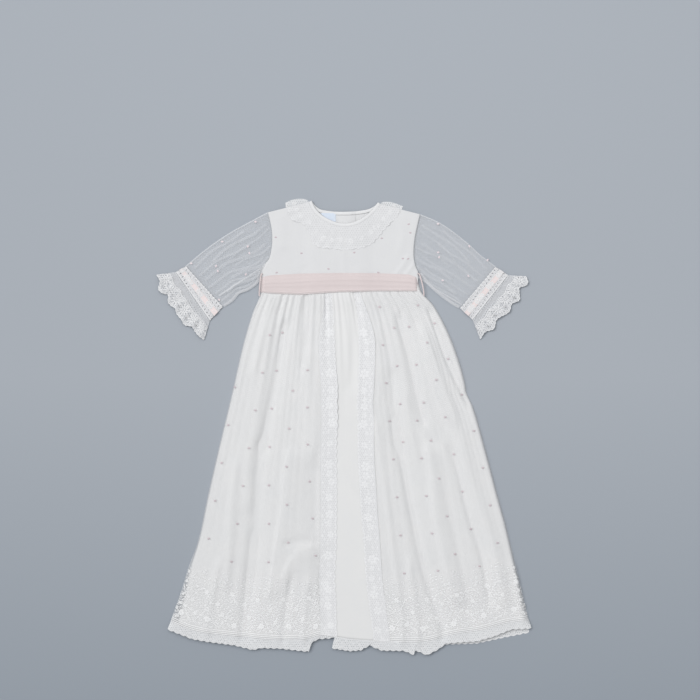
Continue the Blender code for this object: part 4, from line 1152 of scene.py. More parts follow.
# %% Hem laces
HEM_LEFT = ((-277.8, -325.4), (-239.4, -340.4), (-217, -344.6), (-172.2, -350.5), (-141.8, -358),
            (-128, -354.8), (-97, -356), (-52.2, -360.8), (-49, -348), (-38.6, -341), (-16, -339))
HEM_CENTRE = ((-15.4, -355.6), (-2.6, -357.2), (13.4, -359.8), (31, -358.4), (45.4, -350.6),
              (56, -352), (78, -352))
HEM_RIGHT = ((48, -352.5), (64.6, -359), (99.8, -359.4), (115.8, -366), (117.4, -358.2),
             (136.2, -366.2), (154.2, -357.2), (167, -347.8), (191, -345.8), (215.8, -344.4),
             (242.2, -336.8), (271, -325.2), (303, -323.6))
HEM_BACK = ((-276, -322), (-172, -336), (-97, -338), (-30, -336), (10, -340), (75, -346),
            (136, -351), (215.8, -348.5), (262, -338.5), (300, -331))
HEM_CENTRE_REACH = (0.45, 0.64)
EDGING_PITCH = 9.6
EDGING_DEPTH = 1.8
EDGING_WIDTH = 17.0


def make_hem_lace(name, seam, outline, lap=0.0, over=0.1):
    """Hang an edging from a row of seam points, which runs towards +X, down to an outline."""
    marks = np.linspace(0.0, 1.0, len(seam))
    length = float(np.abs(seam[-1, 0] - seam[0, 0]))
    count = round(length / EDGING_PITCH)

    def plan(u, t):
        near = np.stack([np.interp(u, marks, seam[:, axis]) for axis in (0, 1)], axis=1)
        end_x = outline[0][0] + (outline[-1][0] - outline[0][0]) * u
        end_y = look_up(outline, end_x) + scallop(u, count, EDGING_DEPTH)
        far = np.column_stack((end_x, end_y))
        return near + (far - near) * t[:, None] + np.array((0.0, lap - GAP)) * (1 - t[:, None])

    def rest(x, y, u, t):
        level = np.interp(u, marks, seam[:, 2])
        return level + (seam[:, 2].mean() - level) * 0.75 * ease(1.4 * t) + over

    cloth = make_strip(plan, count * 8 + 1, 7, rest)
    lace = wear(cloth.object(name + "_ground", HEM_LACE), "white_lace", name)
    design = edging(length, EDGING_WIDTH, EDGING_PITCH)
    return cloth, lace, embroider(design, name + "_stitching", EMBROIDERY, cloth, plan, length,
                                  EDGING_WIDTH)


lining_hem = lining.points[-1]
start, end = (round(share * (len(lining_hem) - 1)) for share in HEM_CENTRE_REACH)
hem_laces = [make_hem_lace("hem_lace_back", back_net.points[-1], HEM_BACK),
             make_hem_lace("hem_lace_centre", lining_hem[start:end + 1], HEM_CENTRE, 1.4, 0.5),
             make_hem_lace("hem_lace_left", NETS[0][1].points[-1], HEM_LEFT),
             make_hem_lace("hem_lace_right", NETS[1][1].points[-1][::-1], HEM_RIGHT)]
print("hem laces:", [lace.name for _, lace, _ in hem_laces])

# %% [markdown]
# ## Bodice
#
# The bodice is net laid over batiste and sewn as one cloth, so it is a single opaque shell.
# The back comes first: two halves, the left one lapped over the right.

# %% Bodice outlines
SIDE_LEFT = ((WAIST_LEFT, WAIST_Y), (-127.8, 240), (-128.3, 250.5))
SIDE_RIGHT = ((WAIST_RIGHT, WAIST_Y), (122.4, 238), (122.2, 246.8))
ARMHOLE_LEFT = ((-128.3, 250.5), (-126, 256), (-116.8, 266), (-111.6, 288), (-111.4, 309.8),
                (-114, 326), (-117.8, 341.6))
ARMHOLE_RIGHT = ((122.2, 246.8), (118, 256), (115.2, 274), (117, 300), (121, 320), (125.4, 338.5))
ARMPIT_SHARE = 0.18
NECK_FRONT = ((-48, 360.3), (-41.5, 347.5), (-32.2, 337.8), (-21.8, 331.2), (-8.3, 325.7),
              (2.6, 324), (13, 324.5), (23.5, 327.6), (36.8, 335.2), (47.5, 344.5), (54, 352.5),
              (58.1, 357.8))
NECK_BACK = ((-48, 360.3), (-42, 352.5), (-34.7, 347), (-21, 344.2), (-8.3, 342.9), (15.7, 343),
             (30.2, 344.5), (43.5, 347.2), (52, 351.5), (58.1, 357.8))
NECK_SHARES = (0.28, 0.72)
BINDING_WIDTH = 5.0
LAP_LEFT_EDGE = 22.0
LAP_RIGHT_EDGE = 8.0
LAP_RAMP = (-8.0, 3.0)
BACK_THICK, FRONT_THICK, BINDING_THICK = 0.3, 0.8, 0.4

NECK = smooth(NECK_FRONT)
BACK_NECK = smooth(NECK_BACK)
NECK_SEAM = beside(NECK, BINDING_WIDTH + GAP)
BACK_NECK_SEAM = beside(BACK_NECK, BINDING_WIDTH + GAP)
side_left = joined((ARMPIT_SHARE, smooth(SIDE_LEFT)), (1.0, smooth(ARMHOLE_LEFT)))
side_right = joined((ARMPIT_SHARE, smooth(SIDE_RIGHT)), (1.0, smooth(ARMHOLE_RIGHT)))


def lap_rise(x):
    """The rise of the left back half over the edge of the right one, and down at its own edge."""
    start, full = LAP_RAMP
    down = 1.0 * ease((x - LAP_LEFT_EDGE + 7.0) / 7.0)
    return LAP_LIFT * ease((x - start) / (full - start)) - down


# %% Bodice back
def make_back_half(name, side, waist_x, lap_x):
    on_left = waist_x < 0.0
    neck = part_of(BACK_NECK_SEAM, 0.0 if on_left else 1.0, share_at_x(BACK_NECK_SEAM, lap_x))
    top = joined((0.5, line(side(1.0), neck(0.0))), (1.0, neck))
    plan = patch(line((waist_x, WAIST_Y), (lap_x, WAIST_Y)), top, side,
                 line((lap_x, WAIST_Y), neck(1.0)))
    flat, _, _ = laid_grid(plan, hemmed(40), hemmed(50))
    rise = lap_rise(flat[..., 0]) if on_left else 0.0
    cloth = Cloth(raised(flat, BODICE_LIFT + rise), BACK_THICK)
    return cloth, wear(cloth.object(name + "_cloth", LINED_NET), "dotted_net", name)


backs = [make_back_half("bodice_back_left", side_left, WAIST_LEFT, LAP_LEFT_EDGE),
         make_back_half("bodice_back_right", side_right, WAIST_RIGHT, LAP_RIGHT_EDGE)]

# %% Bodice front
FRONT_BASE = 2.8
BODICE_WIDTH = 245.0
# Soft creases of the bodice: marks, height, half width to the left and to the right.
BODICE_CREASES = (
    (((2, 300), (3, 268), (4.6, 246)), 0.54, 6, 5),
    (((104, 268), (97, 256), (88, 244)), 0.78, 3.5, 5),
    (((118, 262), (110, 252), (103, 243)), 0.72, 3, 4),
    (((-60, 262), (-68, 276), (-80, 292)), 0.48, 8, 5),
    (((-119, 256), (-112, 248), (-108, 240)), 0.6, 4, 4),
    (((-98, 330), (-95, 310), (-94, 288)), 0.7, 8, 8),
    (((96, 330), (98, 306), (94, 284)), 0.7, 8, 8),
)


top = joined((NECK_SHARES[0], line(ARMHOLE_LEFT[-1], NECK_SEAM(0.0))),
             (NECK_SHARES[1], NECK_SEAM), (1.0, line(NECK_SEAM(1.0), ARMHOLE_RIGHT[-1])))
flat, u, v = laid_grid(patch(WAIST, top, side_left, side_right), even(150), even(90))
from_side = np.minimum(u, 1.0 - u) * BODICE_WIDTH
x, y = flat[..., 0], flat[..., 1]
height = FRONT_BASE + lap_shelf(x) + crease_rise(BODICE_CREASES, x, y)
bodice = Cloth(raised(flat, turn_down(height, from_side + 3.0, 2.2, 9.0)), FRONT_THICK)
bodice_piece = wear(bodice.object("bodice_front_cloth", LINED_NET), "dotted_net", "bodice_front")
BODICE_DOTS = ((-64.2, 276.2), (20.2, 277.3), (-21, 251.2), (64.2, 300.2), (-103.8, 245.4),
               (58.7, 245.4), (-105.3, 301.8), (107.2, 322.7), (109.8, 309), (97.9, 267.8),
               (106.2, 267.4))
dots = Stitches()
for number, (x, y) in enumerate(BODICE_DOTS):
    dots.pad(x, y, *DOT_SIZE, 20.0 * math.sin(2.1 * number), 0.4)
bodice_dots = wear(dots.sewn("bodice_dots", DOT_THREAD, bodice), "dotted_net")
print("bodice:", round(bodice.area(), 4), "square metres")


# %% [markdown]
# ## Neck, label and buttons
#
# A satin strip binds the neck. The label inside is bare, with a stitch line at each end. The
# buttons close the back, under the lap.

# %% Bindings, label and buttons
STITCH = (1.7, 0.6)
STITCH_HEIGHT = 0.25


def stitch_line(stitches, marks, pitch=2.4):
    """Straight stitches, one after another, along a flat line of marks."""
    marks = np.asarray(marks, float)
    lengths = np.concatenate(([0.0], np.cumsum(np.linalg.norm(np.diff(marks, axis=0), axis=1))))
    places = np.arange(pitch / 2, lengths[-1], pitch)
    x, y = (np.interp(places, lengths, marks[:, axis]) for axis in (0, 1))
    turns = np.degrees(np.arctan2(np.gradient(y), np.gradient(x))) if len(x) > 1 else [0.0]
    for place in zip(x, y, turns):
        stitches.pad(*place[:2], *STITCH, place[2], STITCH_HEIGHT, sides=6)


def make_binding(name, curve, base, shelf):
    """A rolled strip of satin, with the stitches that hold it."""
    plan = between(curve, beside(curve, BINDING_WIDTH + 2.0 * GAP))

    def rest(x, y, u, t):
        return base + shelf(x) + 0.2 + 0.5 * np.sin(math.pi * np.clip(t, 0.02, 0.98)) ** 0.6

    cloth = make_strip(plan, 90, 11, rest, BINDING_THICK)
    strip = wear(cloth.object(name + "_satin", SATIN), "white_satin", name)
    seam = Stitches()
    stitch_line(seam, beside(curve, BINDING_WIDTH - 0.9)(even(120)))
    return cloth, strip, wear(seam.sewn(name + "_stitches", THREAD, cloth), "white_thread")


left_end, right_start = (share_at_x(BACK_NECK_SEAM, x) for x in (LAP_LEFT_EDGE, LAP_RIGHT_EDGE))
bindings = [
    make_binding("neck_binding_front", NECK, FRONT_BASE, lap_shelf),
    make_binding("neck_binding_back_left", part_of(BACK_NECK, 0.0, left_end), BODICE_LIFT,
                 lap_rise),
    make_binding("neck_binding_back_right", part_of(BACK_NECK, right_start, 1.0), BODICE_LIFT,
                 np.zeros_like)]

LABEL_X = (-33.5, -9.5)
LABEL_Y = (319.0, 340.5)
BACK_TOP = 1.95
TAPE_THICK = 0.35
plan = between(*(line((LABEL_X[0], y), (LABEL_X[1], y)) for y in LABEL_Y))
label = make_strip(plan, 14, 12, lambda x, y, u, t: BACK_TOP + 0.25 * np.sin(math.pi * u),
                   TAPE_THICK)
label_piece = wear(label.object("neck_label_tape", LABEL), "plain_label", "neck_label")
seam = Stitches()
for x in (LABEL_X[0] + 1.6, LABEL_X[1] - 1.6):
    stitch_line(seam, ((x, LABEL_Y[0] + 1.0), (x, LABEL_Y[1] - 1.0)), 2.2)
label_stitches = wear(seam.sewn("neck_label_stitches", THREAD, label), "white_thread")


def make_button(name, x, y):
    """A small dished button, turned from its outline."""
    outline = ((0.0, 0.0), (4.0, 0.0), (4.5, 0.35), (4.4, 0.8), (4.0, 1.0), (3.4, 0.95),
               (3.0, 0.65), (0.0, 0.6))
    sides = 28
    points = [(x + r * math.cos(math.tau * k / sides), y + r * math.sin(math.tau * k / sides), z)
              for r, z in outline[1:-1] for k in range(sides)]
    points += [(x, y, 0.0), (x, y, 0.6)]
    rows = len(outline) - 2
    faces = []
    for k in range(sides):
        after = (k + 1) % sides
        faces += [ring_face(ring, k, sides) for ring in range(rows - 1)]
        faces += [(len(points) - 2, after, k),
                  ((rows - 1) * sides + k, (rows - 1) * sides + after, len(points) - 1)]
    return wear(new_object(name + "_shell", points, faces, PEARL), "button_shell", name)


OPENING_X = 15.0
buttons = [make_button(f"button_{number}", OPENING_X, y)
           for number, y in enumerate((332.0, 298.0, 264.0), 1)]
print("neck:", [piece.name for _, piece, _ in bindings], "buttons:", len(buttons))

# %% [markdown]
# ## Collar
#
# The collar is a gathered lace frill. It waves more and more towards its scalloped edge. The
# back collar lies under the shoulders and only its ends show.

# %% Collar
COLLAR_FRONT = ((-85.5, 349.5), (-85.8, 336), (-77.8, 328), (-62, 322), (-51.5, 308),
                (-46.5, 291.5), (-34.6, 284.5), (-20.2, 283.2), (-2.6, 281), (16.6, 281.6),
                (37.4, 285), (50, 292), (58.2, 300), (67.8, 312), (80.6, 325.6), (91.8, 337.6),
                (94, 347))
COLLAR_BACK_LEFT_END = ((-55, 361.5), (-67.4, 363.7), (-80.5, 361.5), (-90, 357.1))
COLLAR_BACK_LEFT = ((-90, 357.1), (-88, 345), (-70, 322), (-38, 308), (8, 304))
COLLAR_BACK_RIGHT_END = ((63.7, 357.5), (76, 358.6), (86.1, 356.3), (98.2, 351.5))
COLLAR_BACK_RIGHT = ((98.2, 351.5), (92, 338), (76, 322), (48, 308), (22, 304))
COLLAR_BASE = 3.8
COLLAR_SWELL = 0.9
COLLAR_WAVES = 13
BACK_COLLAR_WAVES = 9
COLLAR_BACK_START = 0.03
COLLAR_LENGTH = 300.0
BACK_COLLAR_LENGTH = 150.0
COLLAR_DEPTH = 44.0
COLLAR_SCALLOPS = 27
COLLAR_SCALLOP_DEPTH = 2.4

collar_plan = scalloped(NECK_SEAM, smooth(COLLAR_FRONT), COLLAR_SCALLOPS, COLLAR_SCALLOP_DEPTH)


def collar_rest(x, y, u, t):
    wave = swell(COLLAR_WAVES * u + 0.12 * np.sin(17.0 * u))
    uneven = 0.6 + 0.25 * np.sin(5 * math.pi * u + 0.7)
    shelf = lap_shelf(x)
    rise = COLLAR_SWELL * wave * uneven * t ** 1.2
    return COLLAR_BASE + shelf + (LAP_LIFT - shelf) * 0.1 + rise


collar = make_strip(collar_plan, 320, 14, collar_rest)
collar_piece = wear(collar.object("collar_front_ground", COLLAR_LACE), "white_lace",
                    "collar_front")
design = flower_row(COLLAR_LENGTH, 40.0, 23.0, 0.30)
collar_flowers = embroider(design, "collar_front_flowers", EMBROIDERY, collar, collar_plan,
                           COLLAR_LENGTH, COLLAR_DEPTH)


def back_collar_rest(x, y, u, t):
    return 0.1 + 0.5 * t * swell(BACK_COLLAR_WAVES * u)


back_collars = []
for side, end, far_edge in (("left", COLLAR_BACK_LEFT_END, COLLAR_BACK_LEFT),
                            ("right", COLLAR_BACK_RIGHT_END, COLLAR_BACK_RIGHT)):
    start = COLLAR_BACK_START if side == "left" else 1.0 - COLLAR_BACK_START
    neck = part_of(BACK_NECK_SEAM, start, share_at_x(BACK_NECK_SEAM, far_edge[-1][0]))
    end_curve = smooth((tuple(neck(0.0)[0]),) + end)
    plan = patch(neck, smooth(far_edge), end_curve, line(neck(1.0), far_edge[-1]))
    cloth = make_strip(plan, 90, 24, back_collar_rest)
    piece = wear(cloth.object("collar_back_" + side + "_ground", HEM_LACE), "white_lace",
                 "collar_back_" + side)
    design = flower_row(BACK_COLLAR_LENGTH, 30.0, 20.0)
    sewn = embroider(design, "collar_back_" + side + "_flowers", EMBROIDERY, cloth, plan,
                     BACK_COLLAR_LENGTH, COLLAR_DEPTH)
    back_collars.append((cloth, piece, sewn))
print("collar:", round(collar.area(), 4), "square metres")

# %% [markdown]
# ## Sash and belt loops
#
# The sash is sheer enough to show the gathers under its lower half. It turns down round the
# side seams. A chain of thread carries it on each side.

# %% Sash
SASH_LEFT = (-130.0, -128.9)
SASH_RIGHT = (123.6, 122.0)
SASH_FLOOR = 6.4
SASH_TOP = 4.5
SASH_WIDTH = 255.0
SASH_COLUMNS, SASH_ROWS = 200, 40
RIBBON_THICK = 0.35
SHEER_ROWS = 4  # rows of faces along the lower edge that are more sheer


def sash_plan(u, t):
    left = SASH_LEFT[0] + (SASH_LEFT[1] - SASH_LEFT[0]) * t
    right = SASH_RIGHT[0] + (SASH_RIGHT[1] - SASH_RIGHT[0]) * t
    upper, lower = look_up(SASH_EDGES, u, 1), look_up(SASH_EDGES, u, 2)
    return np.column_stack((left + (right - left) * u, lower + (upper - lower) * t))


def sash_rest(x, y, u, t):
    rise = SASH_FLOOR + (SASH_TOP - SASH_FLOOR) * ease((t - 0.55) / 0.45) + lap_shelf(x)
    creases = np.zeros_like(t)
    for at, drift, height, half in ((0.14, 0.05, 0.22, 0.05), (0.36, -0.06, 0.32, 0.06),
                                    (0.60, 0.05, 0.36, 0.05), (0.80, -0.03, 0.28, 0.04)):
        away = t - at - drift * np.sin(5.0 * u + 9.0 * at)
        creases = np.maximum(creases, height * bump(away, half, half * 1.6))
    from_side = np.minimum(u, 1.0 - u) * SASH_WIDTH
    rise = rise + creases + 1.5 * ease((0.13 - t) / 0.13)
    return turn_down(rise, from_side + 1.2, 1.4, 7.0)


sash = make_strip(sash_plan, SASH_COLUMNS, SASH_ROWS, sash_rest, RIBBON_THICK)
sash_piece = wear(sash.object("sash_front_ribbon", RIBBON, RIBBON_HEM), "pink_ribbon",
                  "sash_front")
rows, _ = grid_faces(SASH_COLUMNS - 1, SASH_ROWS - 1)
sash_piece.data.polygons.foreach_set("material_index", (rows < SHEER_ROWS).astype(int))
sash_back = make_strip(sash_plan, 60, 16, lambda x, y, u, t: np.full_like(t, 0.1), RIBBON_THICK)
sash_back_piece = wear(sash_back.object("sash_back_ribbon", RIBBON), "pink_ribbon", "sash_back")


# %% Belt loops
def tube_along(run, radius):
    """Points and faces of a round thread along a run of 3-D points."""
    sides = 7
    run = np.asarray(run, float)
    along = np.gradient(run, axis=0)
    along /= np.linalg.norm(along, axis=1)[:, None]
    across = np.cross(along, (0.31, 0.52, 0.79))
    across /= np.linalg.norm(across, axis=1)[:, None]
    third = np.cross(along, across)
    turn = np.arange(sides) * math.tau / sides
    rings = (run[:, None] + radius * (np.cos(turn)[None, :, None] * across[:, None]
                                      + np.sin(turn)[None, :, None] * third[:, None]))
    faces = [tuple(range(sides))[::-1],
             tuple(range((len(run) - 1) * sides, len(run) * sides))]
    faces += [ring_face(ring, k, sides) for ring in range(len(run) - 1) for k in range(sides)]
    return rings.reshape(-1, 3), faces


# Name, side, how far it stands off, its upper end and its lower end.
LOOPS = (("belt_loop_left", -1.0, 1.8, (-127.0, 243.5, 5.2), (-130.4, 208.0, 4.4)),
         ("belt_loop_right", 1.0, 3.4, (121.6, 244.0, 5.2), (129.6, 208.0, 4.4)))
LOOP_ARCH = 1.7
LOOP_TURNS = 9
STRAND, TWIST_RADIUS = 0.65, 0.6


def make_loop(name, out, reach, upper, lower):
    """Two threads twisted round each other, from the bodice to the skirt."""
    share = even(90)
    bow = np.maximum(np.sin(math.pi * share), 0.0)
    lower, upper = np.array(lower), np.array(upper)
    middle = lower + (upper - lower) * swell(share / 2.0)[:, None]
    middle[:, 0] += out * reach * bow ** 0.5
    middle[:, 2] += LOOP_ARCH * bow
    points, faces = [], []
    for phase in (0.0, math.pi):
        angle = math.tau * LOOP_TURNS * share + phase
        twist = np.column_stack((np.cos(angle), 0.0 * angle, np.sin(angle)))
        strand, strand_faces = tube_along(middle + TWIST_RADIUS * twist, STRAND)
        faces += [tuple(i + len(points) for i in face) for face in strand_faces]
        points.extend(strand)
    return wear(new_object(name + "_chain", points, faces, LOOP_THREAD), "white_thread", name)


belt_loops = [make_loop(*row) for row in LOOPS]
print("sash:", round(sash.area(), 4), "square metres; loops:", len(belt_loops))

# %% [markdown]
# ## Sleeves and cuffs
#
# The sleeves are net alone: two sheer layers with the table showing through. Each ends in an
# insertion of lace with a pink ribbon woven through it, and in a frill of dense lace.

# %% Flattened tubes
SLEEVES = {
    "left": {
        "out": -1, "armhole": ARMHOLE_LEFT,
        "top": ((-118.1, 341.6), (-146.6, 326.4), (-178.6, 308.8), (-213.8, 284.8),
                (-249, 256)),
        "under": ((-128.6, 250.5), (-131.9, 241), (-135, 230), (-149.6, 218),
                  (-166, 211), (-175, 200.5), (-189.6, 190.6)),
        "band": ((-265, 246.4), (-210.6, 168.6)),
        "frill": ((-296.8, 242.1), (-291, 232.3), (-293.1, 218.4), (-286.1, 211.8),
                  (-277.9, 209.4), (-277.6, 197.1), (-272.3, 191.5), (-266.6, 188.2),
                  (-264.2, 179.2), (-256, 169.4), (-251.8, 161.6), (-238.9, 158.1),
                  (-234.7, 150.7), (-229, 144.2), (-220, 137.1)),
        "windows": (0.10, 0.40, 0.68, 0.93),
        "seam": ((-127.7, 252.8), (-160, 232), (-180, 219), (-196.2, 208)),
        "dots": ((-190.6, 294.7), (-149.9, 287), (-147.2, 276.3), (-137.6, 326.6),
                 (-200.5, 255.7), (-197.8, 247.8), (-240.5, 260.2), (-153, 242.2),
                 (-195.8, 201.9)),
    },
    "right": {
        "out": 1, "armhole": ARMHOLE_RIGHT,
        "top": ((125.7, 338.5), (157.4, 324.4), (200.6, 292.8), (221.4, 273.6),
                (246, 255)),
        "under": ((122.5, 246.8), (131.5, 236), (142.6, 223), (157.8, 209.6),
                  (176.2, 196), (189, 188.4)),
        "band": ((266.4, 241.4), (209.4, 169.6)),
        "frill": ((295.4, 239.7), (298.1, 229), (294.6, 224.2), (284.6, 220.8),
                  (284.6, 211.8), (284.6, 201.3), (272.5, 194.7), (269.1, 184.2),
                  (265.4, 180), (252.8, 173.4), (248, 169.4), (245.4, 159.7),
                  (243, 154.7), (229.9, 149.9), (221.8, 138.1)),
        "windows": (0.21, 0.48, 0.76, 0.99),
        "seam": ((122.2, 238.4), (148, 220), (170, 207), (192.6, 193.6)),
        "dots": ((154.2, 277.6), (155.8, 269.9), (202.6, 240), (161.4, 232.8),
                 (233.4, 265.3), (204.2, 287.4), (154.2, 323.2)),
    },
}
# Tubes, from their start to their end: how thick each lies and how high its underside is.
SLEEVE_RISE = ((0, 2.7), (0.2, 4.4), (0.54, 5.2), (0.87, 4.2), (1, 3.2))
SLEEVE_FLOOR = ((0, 1.3), (0.08, 0.91), (0.36, 0), (1, 0))
CUFF_HEIGHT = 3.2
TUBE_ROUNDING = 7.0  # how far a tube's side takes to reach its full height
SLEEVE_WIDTH = 90.0
SLEEVE_COLUMNS, SLEEVE_ROWS = 90, 70
FLAT = ((0.0, 0.0), (1.0, 0.0))
CUFF_RISE = ((0.0, CUFF_HEIGHT), (1.0, CUFF_HEIGHT))


def flat_tube(plan, columns, rows, floor, rise, extra):
    """A flattened tube of cloth: its upper layer runs out and its under layer runs back."""
    out = even(columns)
    across = even(rows)
    u, v = np.meshgrid(np.concatenate((out, out[::-1])), across)
    flat = plan(u.ravel(), v.ravel()).reshape(*u.shape, 2)
    width = np.linalg.norm(plan(np.ones(rows), across) - plan(np.zeros(rows), across), axis=1)
    half = (look_up(rise, v) / 2 - 0.15) * (
        0.25 + 0.75 * ease(np.minimum(u, 1.0 - u) * width[:, None] / TUBE_ROUNDING))
    middle = look_up(floor, v) + look_up(rise, v) / 2
    upper = np.broadcast_to(np.arange(2 * columns) < columns, u.shape)
    height = middle + np.where(upper, half + extra(u, v), -half)
    return Cloth(np.dstack((flat, height)), SHEER, ring=True)


# Folds of a sleeve near its under edge: from u and v to u and v, height and half width.
SLEEVE_FOLDS = (((0.92, 0.10), (0.80, 0.95), 1.4, 4), ((0.80, 0.05), (0.66, 0.60), 1, 4),
                ((0.66, 0.02), (0.52, 0.42), 0.8, 5), ((0.30, 0.35), (0.34, 0.98), 0.7, 7),
                ((0.14, 0.02), (0.10, 0.50), 0.7, 5.0))
# Streaks where the net of a sleeve lies doubled: from u and v to u and v, and their width.
SLEEVE_STREAKS = (((0.16, 0.05), (0.22, 0.75), 4), ((0.30, 0.30), (0.28, 0.97), 3),
                  ((0.24, 0.02), (0.36, 0.60), 2.4), ((0.44, 0.10), (0.40, 0.95), 4.6),
                  ((0.54, 0.02), (0.48, 0.55), 3), ((0.62, 0.15), (0.55, 0.97), 3.6),
                  ((0.72, 0.03), (0.64, 0.65), 4.4), ((0.78, 0.20), (0.70, 0.95), 3),
                  ((0.86, 0.04), (0.80, 0.80), 4), ((0.92, 0.30), (0.88, 0.97), 3),
                  ((0.08, 0.30), (0.12, 0.95), 3.4))


def make_sleeve(side, marks):
    out = marks["out"]
    hole = smooth([(x + out * GAP, y) for x, y in reversed(marks["armhole"])])
    cuff = line(marks["top"][-1], marks["under"][-1])
    plan = patch(hole, cuff, smooth(marks["top"]), smooth(marks["under"]))

    def extra(u, v):
        rise = 0.5 * np.sin(math.pi * v) * swell(2.0 * u)
        for (u0, v0), (u1, v1), height, half in SLEEVE_FOLDS:
            ends = ease((v - v0) / 0.12) * ease((v1 - v) / 0.2)
            away = (u - np.interp(v, (v0, v1), (u0, u1))) * SLEEVE_WIDTH
            rise = rise + height * ends * bump(away, half, half * 0.5)
        return rise

    cloth = flat_tube(plan, SLEEVE_COLUMNS, SLEEVE_ROWS, SLEEVE_FLOOR, SLEEVE_RISE, extra)
    tube = wear(cloth.object("sleeve_" + side + "_cloth", SLEEVE_NET), "dotted_net",
                "sleeve_" + side)
    dots = Stitches()
    for number, (x, y) in enumerate(marks["dots"]):
        dots.pad(x, y, 4.4, 3.0, 60.0 * number, 0.4)
    sewn = wear(dots.sewn("sleeve_dots_" + side, SLEEVE_DOT, cloth), "dotted_net")
    seam = Stitches()
    share = even(60)
    seam.cord(smooth(marks["seam"])(share), 2.4, 0.4)
    seam.cord(smooth(marks["under"])(0.06 + 0.93 * share) + (-0.6 * out, 1.4), 4.6, 0.4)
    seam.cord(smooth(marks["top"])(share) - (0.0, 0.6), 1.6, 0.3)
    doubled = Stitches()
    for (u0, v0), (u1, v1), wide in SLEEVE_STREAKS:
        run = plan(u0 + (u1 - u0) * share + 0.02 * np.sin(7.0 * share), v0 + (v1 - v0) * share)
        doubled.cord(run, wide, 0.1)
    lines = [wear(sewing.sewn(name + side, finish, cloth), "dotted_net")
             for sewing, name, finish in ((seam, "sleeve_seam_", SEAM_NET),
                                          (doubled, "sleeve_folds_", SLEEVE_NET))]
    return cloth, tube, sewn, *lines


# %% Cuff bands with woven ribbon
BAND_LENGTH = 94.0
RIBBON_FLOWERS = 15
WINDOW = 4.6
RIBBON_START = 0.36
RIBBON_SHARE = 0.30


def ribbon_ladder(length, depth):
    """The insertion: rows of small pads and eyelets on both sides of the ribbon."""
    design = Stitches()
    count = round(length / 6.2)
    for number in range(count):
        x = (number + 0.5) * length / count
        for y, radius in ((depth * 0.83, 1.9), (depth * 0.20, 1.9)):
            design.ring(x, y, radius, 1.2, 0.4, 8)
        design.pad(x, depth * 0.98, 2.8, 2.0, 0.0, 0.5)
        design.pad(x + length / count / 2, depth * 0.70, 2.2, 1.6, 0.0, 0.4)
    for y, wide in ((0.05, 2.2), (0.34, 1.4), (0.67, 1.4), (0.95, 1.2)):
        long_cord(design, length, depth * y, wide, 0.6)
    return design


def ribbon_flowers(length, depth, windows):
    """The broad flowers that the ribbon runs under, with windows that show it."""
    design = Stitches()
    for number in range(RIBBON_FLOWERS):
        x = (number + 0.5) * length / RIBBON_FLOWERS
        if min(abs(x - window * length) for window in windows) < WINDOW:
            continue
        sway = math.sin(2.9 * number)
        design.flower(x, depth * (0.5 + 0.06 * sway), depth * 0.62, 6, 40.0 * number, 0.45)
        design.pad(x + 3.1, depth * 0.5, depth * 1.1, 1.9, 90.0 + 12.0 * sway, 0.4)
    for number, window in enumerate(windows):
        design.pad(window * length + 1.4 * math.sin(3.0 * number), depth * 0.5, depth * 0.9, 0.9,
                   60.0 + 50.0 * number, 0.3)
    return design


def make_cuff(side, marks):
    out = marks["out"]
    name = "cuff_band_" + side
    cuff = line(marks["top"][-1], marks["under"][-1])
    near, far = beside(cuff, -out * GAP), smooth(marks["band"])
    plan = between(near, far)
    cloth = flat_tube(plan, 70, 16, FLAT, CUFF_RISE, lambda u, v: 0.0 * u)
    band = wear(cloth.object(name + "_ground", CUFF_LACE), "white_lace", name)
    depth = float(np.linalg.norm(far(0.5) - near(0.5)))
    design = ribbon_ladder(BAND_LENGTH, depth)
    sewn = embroider(design, name + "_ladder", EMBROIDERY, cloth, plan, BAND_LENGTH, depth)

    def ribbon_plan(u, t):
        return plan(u, RIBBON_START + RIBBON_SHARE * t)

    def ribbon_rest(x, y, u, t):
        return CUFF_HEIGHT + 0.2 + 0.2 * np.cos(math.tau * 4.0 * u)

    ribbon = make_strip(ribbon_plan, 110, 5, ribbon_rest, 0.25)
    woven = wear(ribbon.object(name + "_ribbon", CUFF_RIBBON), "pink_ribbon")
    ribbon_width = depth * RIBBON_SHARE
    flowers = ribbon_flowers(BAND_LENGTH, ribbon_width, marks["windows"])
    over = embroider(flowers, name + "_flowers", EMBROIDERY, ribbon, ribbon_plan, BAND_LENGTH,
                     ribbon_width)
    return cloth, band, sewn, ribbon, woven, over


# %% Cuff frills
FRILL_SCALLOPS = 6
FRILL_WAVES = 7
FRILL_SWELL = 1.8
FRILL_SCALLOP_DEPTH = 1.2
FRILL_LENGTH = 128.0
FRILL_DEPTH = 30.0
FRILL_COLUMNS, FRILL_ROWS = 130, 16


